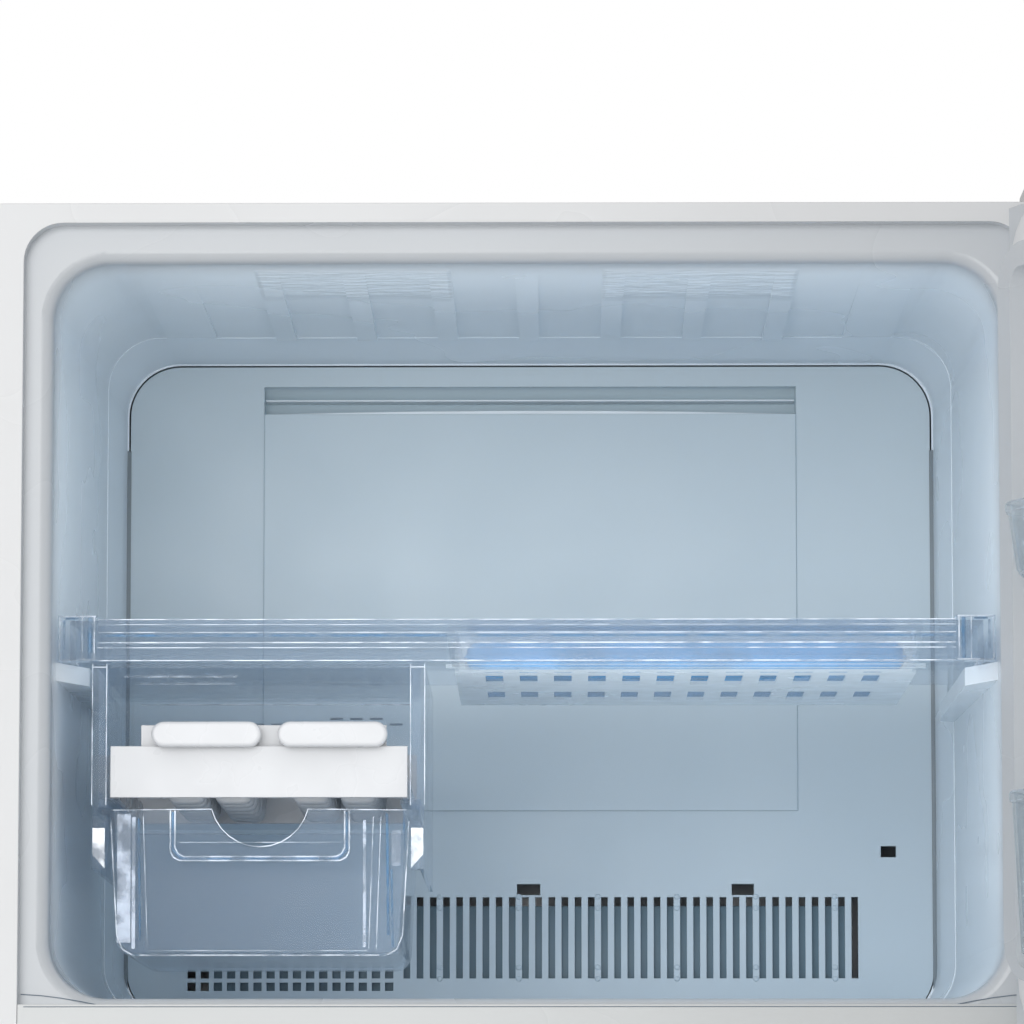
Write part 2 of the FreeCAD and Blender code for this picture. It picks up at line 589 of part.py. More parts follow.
def ice_frame():
    bar = box("bar_left", "bar_right", at("in_housing-4"), at("in_housing"), "bar_low", "bar_high")
    head = box("bar_left+20", "bar_right-14", at("in_housing"), at("in_housing+3"),
               "bar_low", "lever_z+7")
    bores = [rod("Y", lever, at("in_housing-20"), "lever_z", "pin_radius+0.4", "60")
             for lever in ("lever_one", "lever_two")]
    rails = [box(left, f"{left}+frame_wall", at("in_housing"), at("housing_back-6"), "bar_low",
                 "bar_low+14") for left in ("bar_left", "bar_right-frame_wall")]
    tail = box("bar_left", "bar_right", at("housing_back-9"), at("housing_back-6"),
               "bar_low", "lever_z+7")
    back_bores = [rod("Y", lever, at("housing_back-30"), "lever_z", "pin_radius+0.4", "60")
                  for lever in ("lever_one", "lever_two")]
    return node("ice_frame", cut(fuse(bar, head, tail, *rails), group(*bores), group(*back_bores)))


def ice_tray(label, middle):
    low = "lever_z-twist_deep"
    high = "lever_z-twist_rim"
    start = at("in_twist")
    stop = at("in_twist+twist_long")
    block = wedge_up(low, (f"{middle}-twist_half_low", f"{middle}+twist_half_low",
                           f"{start}+4", f"{stop}-4"),
                     high, (f"{middle}-twist_half_top", f"{middle}+twist_half_top", start, stop))
    cups = []
    pitch = "((twist_long-cube_wall)/cube_rows)"
    for row in range(6):
        for column in (-1, 1):
            x_in = f"{middle}{'+' if column > 0 else '-'}cube_wall/2"
            x_out = f"{middle}{'+' if column > 0 else '-'}(twist_half_top-cube_wall)"
            x_deep = f"{middle}{'+' if column > 0 else '-'}(twist_half_low-cube_wall)"
            y_one = f"{start}+cube_wall+{row}*{pitch}"
            y_two = f"{start}+{row + 1}*{pitch}"
            over = (x_in, x_out, y_one, y_two) if column > 0 else (x_out, x_in, y_one, y_two)
            x_mid = x_in.replace("cube_wall/2", "(cube_wall/2+3)")
            under = (x_mid, x_deep) if column > 0 else (x_deep, x_mid)
            cups.append(wedge_up(f"{low}+cube_wall", (*under, f"{y_one}+4", f"{y_two}-4"),
                                 f"{high}+0.01", over))
    for column in ("-", "+"):
        edges = [f"{middle}{column}cube_wall/2", f"{middle}{column}(twist_half_top-cube_wall-1)"]
        if column == "-":
            edges.reverse()
        cups.append(box(*edges, f"{start}+cube_wall", f"{stop}-cube_wall",
                        f"{high}-spill_deep", f"{high}+1"))
    ends = [box(f"{middle}-9", f"{middle}+9", y_one, y_two, f"{high}-8", "lever_z+6")
            for y_one, y_two in ((start, f"{start}+cube_wall"), (f"{stop}-cube_wall", stop))]
    pins = [rod("Y", middle, at("in_housing+4"), "lever_z", "pin_radius", "in_twist-in_housing-3"),
            rod("Y", middle, f"{stop}-1", "lever_z", "pin_radius",
                "housing_back-in_twist-twist_long-5")]
    return node(label, fuse(cut(block, *cups), *ends, *pins))


def ice_lever(label, middle):
    face = at("in_housing-6-lever_thick")
    radius = "lever_high/2"
    reach = f"(lever_long/2-{radius})"
    bar = box(f"{middle}-{reach}", f"{middle}+{reach}", face, f"{face}+lever_thick",
              f"lever_z-{radius}", f"lever_z+{radius}")
    ends = [rod("Y", f"{middle}{side}{reach}", face, "lever_z", radius, "lever_thick")
            for side in "-+"]
    shaft = rod("Y", middle, f"{face}+lever_thick-1", "lever_z", "pin_radius", "11")
    pill = fuse(bar, *ends)
    front = -size("cab_depth") / 2 + size("in_housing") - 6 - size("lever_thick")
    soft = fillet(pill, 2.5, lambda limits: limits.YMax < front + 0.1 and
                  limits.YLength < 0.1 and (limits.XLength > 30 or limits.ZLength > 10))
    return node(label, fuse(soft, shaft))


def ice_bin():
    y_low = at("in_housing+4")
    y_high = at("in_housing+4+bin_long")
    outer = fillet(wedge_up("bin_low", ("bin_left+5", "bin_right-5", f"{y_low}+4", f"{y_high}-4"),
                            "bin_high", ("bin_left", "bin_right", y_low, y_high)),
                   12, lambda limits: limits.ZMax < size("bin_low") + 1 and limits.YLength > 100)
    hollow = fillet(wedge_up("bin_low+bin_wall", ("bin_left+5+bin_wall", "bin_right-5-bin_wall",
                                                  f"{y_low}+4+bin_wall", f"{y_high}-4-bin_wall"),
                             "bin_high+0.01", ("bin_left+bin_wall", "bin_right-bin_wall",
                                               f"{y_low}+bin_wall", f"{y_high}-bin_wall")),
                    10, lambda limits: limits.ZMax < size("bin_low") + 4 and limits.YLength > 100)
    middle = "(bin_left+bin_right)/2"
    finger = rod("Y", middle, f"{y_low}-10", "bin_high+8", "cut_radius", "26")
    rims = []
    for side in (1, -1):
        edge = "bin_left-rim_wide" if side > 0 else "bin_right-1"
        rims.append(box(edge, f"{edge}+rim_wide+1", f"{y_low}+2", f"{y_high}-2", "bin_high-4",
                        "bin_high"))
    recess = fillet(box("bin_left+40", "bin_right-40", f"{y_low}-1.5", f"{y_low}+1.5",
                        "bin_high-34", "bin_high"),
                    6, lambda limits: limits.YLength > 1 and limits.ZMax < size("bin_high") - 30
                    and limits.XLength < 1)
    return node("ice_bin", cut(fuse(outer, recess, *rims), hollow, finger))


def cool_pack_tray():
    y_low = at("in_tray")
    y_high = at("in_tray+tray_long")
    outer = box("tray_left", "tray_right", y_low, y_high, "tray_low", "tray_high")
    hollow = box("tray_left+tray_wall", "tray_right-tray_wall", f"{y_low}+tray_wall",
                 f"{y_high}-tray_wall", "tray_low+tray_wall", "tray_high+1")
    slits = []
    for depth in ("in_slit_one", "in_slit_two"):
        for index in range(12):
            left = f"slit_first+{index}*slit_pitch"
            slits.append(box(left, f"{left}+slit_wide", at(depth), at(f"{depth}+slit_long"),
                             "tray_low-1", "tray_low+tray_wall+1"))
    lip = box("tray_left-6", "tray_right+6", f"{y_low}-4", y_low, "tray_low+3", "tray_low+5.5")
    hooks = [box(f"{edge}", f"{edge}+6", f"{y_low}+20", f"{y_high}-20", "tray_high-3", "tray_high")
             for edge in ("tray_left-6", "tray_right")]
    node("pack_tray", cut(fuse(outer, lip, *hooks), hollow, group(*slits)))
    pack = fillet(box("tray_left+tray_wall+pack_gap", "tray_right-tray_wall-pack_gap",
                      f"{y_low}+tray_wall+pack_gap", f"{y_high}-tray_wall-pack_gap",
                      "tray_low+tray_wall+0.1", "tray_low+tray_wall+pack_high"),
                  6, lambda limits: True)
    node("cool_pack", pack)


# ---------------------------------------------------------------- refrigerator compartment

def glass_shelves():
    half = f"({OPENING}-fridge_draft-3)"
    plates = []
    for level in ("glass_one", "glass_two", "glass_three"):
        plates.append(box(f"-{half}", half, at("in_glass"), at("in_glass+glass_long"), level,
                          f"{level}+glass"))
        plates.append(box(f"-{half}", half, at("in_glass-6"), at("in_glass"), f"{level}-8",
                          f"{level}+glass+3"))
    return node("glass_shelves", fuse(*plates))


def crispers():
    half = f"({OPENING}-fridge_draft-3)"
    plate = box(f"-{half}", half, at("in_glass"), at("fridge_step_deep-4"), "cover_z",
                "cover_z+glass")
    lip = box(f"-{half}", half, at("in_glass-6"), at("in_glass"), "cover_z-10", "cover_z+glass+2")
    middle = box("-2", "2", at("in_glass+8"), at("fridge_step_deep-30"), "fridge_floor+crisper_high+10",
                 "cover_z")
    node("crisper_cover", fuse(plate, lip, middle))
    low = "fridge_floor+2"
    high = "fridge_floor+crisper_high"
    for label, side in (("crisper_left", -1), ("crisper_right", 1)):
        inner = "crisper_gap/2"
        outer = f"({OPENING}-32)"
        y_low = at("in_crisper")
        y_high = at("in_crisper+crisper_long")

        def span(grow, draft):
            one = f"{side}*({inner}+{grow}+{draft})"
            two = f"{side}*({outer}-{grow}-{draft})"
            return (one, two) if side > 0 else (two, one)

        body = wedge_up(low, (*span("0", "6"), f"{y_low}+6", f"{y_high}-10"),
                        high, (*span("0", "0"), y_low, y_high))
        hollow = wedge_up(f"{low}+crisper_wall",
                          (*span("crisper_wall", "6"), f"{y_low}+6+crisper_wall",
                           f"{y_high}-10-crisper_wall"),
                          f"{high}+0.01",
                          (*span("crisper_wall", "0"), f"{y_low}+crisper_wall",
                           f"{y_high}-crisper_wall"))
        grip = box(*span("60", "0"), f"{y_low}-9", f"{y_low}+1", f"{high}-16", f"{high}-12")
        node(label, fuse(cut(body, hollow), grip))


def fridge_back():
    face = at("fridge_deep-duct_thick")
    cover = box("-duct_half", "duct_half", face, at("fridge_deep"), "duct_low",
                "fridge_ceiling-31")
    vents = [box(f"{side}*duct_half/2-24", f"{side}*duct_half/2+24", at("fridge_deep-40"),
                 at("fridge_deep-4"), f"{level}", f"{level}+9")
             for side in ("-1", "1")
             for level in ("glass_one+90", "glass_two+90", "glass_three+90", "glass_three+120")]
    node("duct_cover", cut(cover, group(*vents)))
    low = "fridge_ceiling-box_high"
    housing = box("-box_half", "box_half", at("60"), at("60+box_long"), low, "fridge_ceiling")
    well = rod("Y", "box_half-40", at("50"), f"{low}+17", "pin_radius+0.4", "40")
    node("control_housing", cut(housing, well))
    knob = rod("Y", "box_half-40", at("42"), f"{low}+17", "knob_radius*0.8", "17.5")
    stem = rod("Y", "box_half-40", at("59"), f"{low}+17", "pin_radius", "20")
    rib = box("box_half-42", "box_half-38", at("38"), at("43"), f"{low}+5", f"{low}+29")
    node("control_knob", fuse(knob, stem, rib))
    node("lamp_cover", box("-70", "40", at("60+box_long"), at("60+box_long+90"),
                           "fridge_ceiling-22", "fridge_ceiling"))


def door_switch():
    left = SWITCH_X
    housing = box(left, f"{left}+40", at("-3"), FRONT, "mullion_low+20", "mullion_low+42")
    barrel = box(f"{left}+8", f"{left}+32", at("-1"), at("11"), "mullion_low+23",
                 "mullion_low+39")
    bore = box(f"{left}+13.5", f"{left}+26.5", at("-4"), at("9"), "mullion_low+26.5",
               "mullion_low+35.5")
    node("switch_housing", cut(fuse(housing, barrel), bore))
    node("switch_plunger", box(f"{left}+14", f"{left}+26", at("-10"), at("1"),
                               "mullion_low+27", "mullion_low+35"))


# ---------------------------------------------------------------- machine bay and feet

def machine_bay():
    can = rod("Z", "-150", f"{BACK}-112", "base_height+34", "comp_radius", "comp_high")
    dome = doc.addObject("Part::Cone", "Dome")
    bind(dome, Radius1="comp_radius", Radius2="comp_radius*0.6", Height="22")
    place(dome, "-150", f"{BACK}-112", "base_height+34+comp_high")
    plate = box("-150-comp_radius-14", "-150+comp_radius+14", f"{BACK}-112-46", f"{BACK}-112+46",
                "base_height+14", "base_height+36")
    legs = [rod("Z", f"-150{x_side}(comp_radius+2)", f"{BACK}-112{y_side}32",
                "base_height+skin", "10", "14") for x_side in "-+" for y_side in "-+"]
    box_side = box("-150+comp_radius-4", "-150+comp_radius+26", f"{BACK}-140", f"{BACK}-84",
                   "base_height+70", "base_height+120")
    node("compressor", fuse(can, dome, plate, box_side, *legs))
    coil = []
    for index in range(5):
        level = f"base_height+62+{index}*22"
        for reach in ("60", "96", "132"):
            coil.append(rod("X", "40", f"{BACK}-{reach}", level, "3", "220"))
    sheets = [box(left, f"{left}+2", f"{BACK}-150", f"{BACK}-44", "base_height+skin",
                  "base_height+166") for left in ("44", "254")]
    drier = rod("Z", "290", f"{BACK}-60", "base_height+40", "9", "110")
    strap = box("256", "299", f"{BACK}-61", f"{BACK}-59", "base_height+80", "base_height+90")
    node("condenser", fuse(*coil, *sheets, drier, strap))
    pan = box("64", "236", f"{BACK}-146", f"{BACK}-50", "base_height+skin", "base_height+38")
    pan_hole = box("67", "233", f"{BACK}-143", f"{BACK}-53", "base_height+skin+3",
                   "base_height+50")
    node("drain_pan", cut(pan, pan_hole))


def feet():
    for label, side in (("foot_left", "-1"), ("foot_right", "1")):
        middle = f"{side}*(cab_width/2-50)"
        pad = rod("Z", middle, at("60"), "0", "foot_radius", "10")
        stem = rod("Z", middle, at("60"), "9", "5", "base_height+10")
        node(label, fuse(pad, stem))
    for label, side in (("roller_left", "-1"), ("roller_right", "1")):
        middle = f"{side}*(cab_width/2-46)"
        wheel = rod("X", f"{middle}-roller_wide/2", f"{BACK}-60", "roller_radius",
                    "roller_radius", "roller_wide")
        bore = rod("X", f"{middle}-roller_wide", f"{BACK}-60", "roller_radius",
                   "pin_radius+0.3", "roller_wide*2")
        node(label, cut(wheel, bore))
    plate = box(f"-{FLANGE_IN}+0.5", f"{FLANGE_IN}-0.5", FRONT, at("3"), "8",
                "base_height+34")
    ties = [box(f"{side}*(cab_width/2-100)-12", f"{side}*(cab_width/2-100)+12", at("3"), at("30"),
                "base_height+10", "base_height+13") for side in ("-1", "1")]
    slits = [box(f"{index}*40-14", f"{index}*40+14", at("-5"), at("2.9"), level, f"{level}+4")
             for index in range(-5, 6) for level in ("22", "32", "42")]
    node("kick_plate", cut(fuse(plate, *ties), group(*slits)))


# ---------------------------------------------------------------- hinges

PIVOT_X = "(cab_width/2-hinge_inset)"
PIVOT_Y = "(-cab_depth/2-hinge_ahead)"
SPLIT_LOW = "(door_split-door_gap/2)"
SPLIT_HIGH = "(door_split+door_gap/2)"


def hinges():
    strip = "(hinge_pin+3)"
    plate = box(f"{PIVOT_X}-{strip}", f"{PIVOT_X}+{strip}", f"{PIVOT_Y}-8", at("60"), "cab_height",
                "cab_height+hinge_plate")
    pin = rod("Z", PIVOT_X, PIVOT_Y, f"{DOOR_TOP}-pin_long", "hinge_pin",
              "door_drop+pin_long+1")
    collar = rod("Z", PIVOT_X, PIVOT_Y, f"{DOOR_TOP}+0.4", strip, "door_drop-0.4")
    node("top_hinge", fuse(plate, pin, collar))
    shell = box(f"{PIVOT_X}-{strip}-1.6", f"{PIVOT_X}+{strip}+1.6", f"{PIVOT_Y}-12", at("70"),
                "cab_height", "cab_height+18")
    hollow = box(f"{PIVOT_X}-{strip}-0.4", f"{PIVOT_X}+{strip}+0.4", f"{PIVOT_Y}-9", at("66"),
                 "cab_height-1", "cab_height+16")
    node("hinge_cover", cut(fillet(shell, 4, lambda limits: limits.ZMin > size("cab_height") + 17),
                            hollow))
    arm = box(f"{HALF}-60", f"{HALF}-4", f"{PIVOT_Y}-6", FRONT, "door_split-hinge_plate/2",
              "door_split+hinge_plate/2")
    foot_tab = box(f"{HALF}-60", f"{HALF}-4", f"{FRONT}-3", FRONT, f"{SPLIT_LOW}+0.8",
                   f"{SPLIT_HIGH}-0.8")
    pin = rod("Z", PIVOT_X, PIVOT_Y, "door_split-pin_long", "hinge_pin", "pin_long*2")
    node("middle_hinge", fuse(arm, foot_tab, pin))
    arm = box(f"{HALF}-60", f"{HALF}-4", f"{PIVOT_Y}-6", FRONT, "door_low-3-hinge_plate",
              "door_low-3")
    foot_tab = box(f"{HALF}-60", f"{HALF}-20", f"{FRONT}-4", FRONT, "base_height+10",
                   "door_low-3")
    pin = rod("Z", PIVOT_X, PIVOT_Y, "door_low-4", "hinge_pin", "pin_long")
    node("bottom_hinge", fuse(arm, foot_tab, pin))


# ---------------------------------------------------------------- doors

PANEL_BACK = f"{PIVOT_Y}+pin_to_back"
PANEL_FRONT = f"{PIVOT_Y}+pin_to_back-door_thick"


def door_bin(label, low, high, reach):
    """An open box across the inner panel with a bowed front rim."""
    half = f"({HALF}-door_bin_edge)"
    back = f"({PANEL_BACK}+door_panel+0.2)"
    front = f"({PIVOT_Y}+{reach})"
    body = fillet(wedge_up(low, (f"-{half}+6", f"{half}-6", back, f"{front}-10"),
                           high, (f"-{half}", half, back, front)),
                  18, lambda limits: limits.ZLength > 30
                  and limits.YMax > -size("cab_depth") / 2 + 20)
    hollow = fillet(wedge_up(f"{low}+door_bin_wall",
                             (f"-{half}+6+door_bin_wall", f"{half}-6-door_bin_wall",
                              f"{back}+door_bin_wall", f"{front}-10-door_bin_wall"),
                             f"{high}+0.01",
                             (f"-{half}+door_bin_wall", f"{half}-door_bin_wall",
                              f"{back}+door_bin_wall", f"{front}-door_bin_wall")),
                    15, lambda limits: limits.ZLength > 30
                    and limits.YMax > -size("cab_depth") / 2 + 15)
    return turned(label, cut(body, hollow))


def door(name, low, high, dyke_low, dyke_high, handle_low, bins):
    panel = fillet(box(f"-{HALF}", HALF, PANEL_FRONT, PANEL_BACK, low, high), size("door_round"),
                   lambda limits: limits.ZLength > 100
                   and limits.YMax < -size("cab_depth") / 2 - size("hinge_ahead") - 20)
    pocket = box(f"-{INNER}", INNER, f"{PANEL_FRONT}+skin+1", f"{PANEL_BACK}+1", f"{low}+2.5",
                 f"{high}-2.5")
    ends = [rod("Z", PIVOT_X, PIVOT_Y, f"{low}-1", "hinge_pin+0.35", "pin_long+2"),
            rod("Z", PIVOT_X, PIVOT_Y, f"{high}-pin_long-1", "hinge_pin+0.35", "pin_long+2")]
    turned(f"{name}_door_skin", cut(panel, pocket, group(*ends)))
    foam = box(f"-{INNER}+0.1", f"{INNER}-0.1", f"{PANEL_FRONT}+skin+1.1", PANEL_BACK,
               f"{low}+2.6", f"{high}-2.6")
    turned(f"{name}_door_foam", cut(foam, group(*ends)))
    edge = f"({HALF}-dyke_edge)"
    plate = box(f"-{INNER}", INNER, PANEL_BACK, f"{PANEL_BACK}+door_panel", f"{low}+1",
                f"{high}-1")
    top = f"{PANEL_BACK}+dyke_high"
    rise = fillet(wedge_back(f"{PANEL_BACK}+1",
                             (f"-{edge}-5", f"{edge}+5", f"{dyke_low}-5", f"{dyke_high}+5"),
                             top, (f"-{edge}", edge, dyke_low, dyke_high)),
                  30, along("Y"))
    sunk = fillet(wedge_back(f"{PANEL_BACK}+door_panel",
                             (f"-{edge}+dyke_wide+5", f"{edge}-dyke_wide-5",
                              f"{dyke_low}+dyke_sill+2", f"{dyke_high}-dyke_wide-5"),
                             f"{top}+0.01",
                             (f"-{edge}+dyke_wide", f"{edge}-dyke_wide",
                              f"{dyke_low}+dyke_sill", f"{dyke_high}-dyke_wide")),
                  12, along("Y"))
    turned(f"{name}_door_liner", cut(fuse(plate, rise), sunk))
    ring = box(f"-{HALF}+gasket_edge", f"{HALF}-gasket_edge", f"{PANEL_BACK}+door_panel",
               f"{PANEL_BACK}+gasket_thick", f"{dyke_low}-gasket_wide-6",
               f"{dyke_high}+gasket_wide+6")
    hole = box(f"-{edge}-5.4", f"{edge}+5.4", f"{PANEL_BACK}-1", f"{PANEL_BACK}+30",
               f"{dyke_low}-5.4", f"{dyke_high}+5.4")
    turned(f"{name}_door_gasket", cut(ring, hole))
    grip_x = f"-{HALF}+44"
    front = f"({PANEL_FRONT}-handle_out)"
    grip = box(f"{grip_x}-handle_bar/2", f"{grip_x}+handle_bar/2", front, f"{front}+handle_bar",
               handle_low, f"{handle_low}+handle_long")
    posts = [box(f"{grip_x}-handle_bar/2", f"{grip_x}+handle_bar/2", f"{front}+handle_bar-1",
                 PANEL_FRONT, level, f"{level}+22")
             for level in (handle_low, f"{handle_low}+handle_long-22")]
    turned(f"{name}_door_handle", fillet(fuse(grip, *posts), 4, lambda limits: limits.ZLength > 200))
    for label, bin_low, bin_high, reach in bins:
        door_bin(label, bin_low, bin_high, reach)


outer_wrapper()
rear_sheets()
base_pan()
cabinet_foam()
freezer_liner()
fridge_liner()
mullion_cover()
freezer_back_panel()
slot_louvre()
evaporator()
fan()
freezer_shelf()
ice_housing()
ice_frame()
for hand, axis_x in (("left", "lever_one"), ("right", "lever_two")):
    ice_tray(f"ice_tray_{hand}", axis_x)
    ice_lever(f"ice_lever_{hand}", axis_x)
ice_bin()
cool_pack_tray()
glass_shelves()
crispers()
fridge_back()
door_switch()
machine_bay()
feet()
hinges()
door("freezer", SPLIT_HIGH, DOOR_TOP, "freezer_floor+5", f"({CEILING}-9)", "door_split+24",
     (("freezer_bin_upper", "shelf_high+6", "shelf_high+55", "upper_reach"),
      ("freezer_bin_lower", "freezer_floor+16.5", "freezer_floor+124", "lower_reach")))
door("fridge", "door_low", SPLIT_LOW, "fridge_floor+9", "(fridge_ceiling-9)",
     "door_split-24-handle_long",
     (("fridge_bin_upper", "glass_three+40", "glass_three+110", "fridge_reach"),
      ("fridge_bin_middle", "glass_two-60", "glass_two+30", "fridge_reach"),
      ("fridge_bin_lower", "fridge_floor+120", "fridge_floor+260", "fridge_reach")))

doc.recompute()
broken = [thing.Name for thing in doc.Objects if "Invalid" in thing.State or "Error" in thing.State]
if broken:
    raise RuntimeError("failed objects: " + ", ".join(broken))
for thing in NODES:
    if thing.Shape.isNull() or not thing.Shape.isValid():
        raise RuntimeError("bad shape: " + thing.Label)
os.makedirs("parts", exist_ok=True)
for thing in NODES:
    thing.Shape.exportStep("parts/" + thing.Label + ".step")
print(len(NODES), "nodes")
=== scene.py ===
"""Top freezer refrigerator with both doors open: finishes, small pieces and stage, in metres.

X runs to the right, Y to the back and Z up, and the frame's nodes are already in place.
"""
import json
import math

import bmesh
import bpy
from bpy.props import FloatProperty, FloatVectorProperty, PointerProperty
from mathutils import Matrix, Vector


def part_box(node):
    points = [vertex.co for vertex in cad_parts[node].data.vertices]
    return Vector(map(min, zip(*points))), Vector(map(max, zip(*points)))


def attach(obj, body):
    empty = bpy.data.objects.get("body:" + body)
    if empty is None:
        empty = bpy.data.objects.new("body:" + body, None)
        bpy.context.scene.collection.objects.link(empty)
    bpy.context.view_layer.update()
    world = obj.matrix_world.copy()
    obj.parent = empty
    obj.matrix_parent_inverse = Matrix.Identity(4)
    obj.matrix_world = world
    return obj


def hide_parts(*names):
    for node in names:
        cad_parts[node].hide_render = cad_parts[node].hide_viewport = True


bl_info = {
    "name": "Top Freezer Refrigerator",
    "version": (1, 0, 0),
    "blender": (4, 5, 0),
    "location": "3D View > Sidebar > Refrigerator",
    "description": "Finishes and small pieces of a refrigerator with a freezer over it",
    "category": "Object",
}

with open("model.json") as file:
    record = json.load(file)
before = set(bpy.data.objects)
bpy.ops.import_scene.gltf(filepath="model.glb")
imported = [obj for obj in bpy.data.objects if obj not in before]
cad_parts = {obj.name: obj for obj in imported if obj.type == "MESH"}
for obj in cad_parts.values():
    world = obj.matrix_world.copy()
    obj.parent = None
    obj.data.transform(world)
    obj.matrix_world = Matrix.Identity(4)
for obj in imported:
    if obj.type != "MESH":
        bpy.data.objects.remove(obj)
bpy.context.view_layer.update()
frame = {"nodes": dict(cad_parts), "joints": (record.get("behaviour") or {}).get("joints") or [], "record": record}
NODES = frame["nodes"]
MM = 0.001
CABINET_FRONT = -300  # millimetres
DOORS_OPEN = math.radians(115)
HINGE = Vector(next(joint["pos_m"] for joint in frame["joints"]
                    if joint["name"] == "freezer_door_swing"))
OPENED = (Matrix.Translation(HINGE) @ Matrix.Rotation(DOORS_OPEN, 4, "Z")
          @ Matrix.Translation(-HINGE))
SHUT = OPENED.inverted()


# ---------------------------------------------------------------- settings

def tint(label, text, colour):
    return FloatVectorProperty(name=label, description=text, default=colour, subtype="COLOR",
                               min=0.0, max=1.0, size=3)


def length(label, text, metres):
    return FloatProperty(name=label, description=text, default=metres, unit="LENGTH",
                         subtype="DISTANCE", min=0.0)


class FridgeColours(bpy.types.PropertyGroup):
    """Base colours of the finishes."""
    enamel: tint("Enamel", "Cabinet and door enamel", (0.80, 0.81, 0.82))
    # The ledge and wall colours belong to one liner sheet; the cooler, bluer wall colour deeper in the rooms is
    # painted light.
    ledge: tint("Ledge", "Liner sheet at the front ledge", (0.66, 0.69, 0.72))
    wall: tint("Wall", "Liner sheet deep in the rooms", (0.75, 0.83, 0.895))
    cover: tint("Cover", "Evaporator cover", (0.54, 0.63, 0.68))
    white: tint("White", "White moulded pieces", (0.42, 0.43, 0.445))
    clear: tint("Clear", "Clear moulded pieces", (0.42, 0.56, 0.74))
    pack: tint("Pack", "Film of the cool pack", (0.001, 0.17, 0.40))
    dark: tint("Dark", "Dark moulded pieces", (0.03, 0.03, 0.034))


class FridgeSizes(bpy.types.PropertyGroup):
    """Sizes of the small pieces."""
    edge: length("Soft edge", "Radius that catches light along moulded edges", 0.0008)
    screw_head: length("Screw head", "Radius of a screw head", 0.0042)
    shelves: FloatVectorProperty(name="Shelves", description="Heights of the three glass shelves",
                                 default=(0.480, 0.650, 0.830), subtype="XYZ_LENGTH", size=3)


class FridgeStage(bpy.types.PropertyGroup):
    """Camera and light."""
    distance: length("Distance", "Camera to the cabinet's front plane", 3.7)
    eye: length("Eye height", "Camera height over the floor", 1.018)
    lens: FloatProperty(name="Lens", description="Focal length in millimetres", default=199.8)
    side: FloatProperty(name="Side", description="Camera to the right of the middle, in metres",
                        default=0.0256)
    tilt: FloatProperty(name="Tilt", description="Camera above level, in degrees", default=6.299)
    pan: FloatProperty(name="Pan", description="Camera turned to the left, in degrees", default=0.5386)
    shift: FloatProperty(name="Shift", description="Vertical shift of the lens", default=0.1)
    daylight: FloatProperty(name="Daylight", description="Strength of the white room", default=0.50)
    key: FloatProperty(name="Key light", description="Power of the large front light in watts",
                       default=46.0)
    room: FloatProperty(name="Room light", description="Power of the light in the freezer, in watts",
                        default=0.76)


def settings():
    return bpy.context.scene.fridge_colours, bpy.context.scene.fridge_sizes


# ---------------------------------------------------------------- finishes

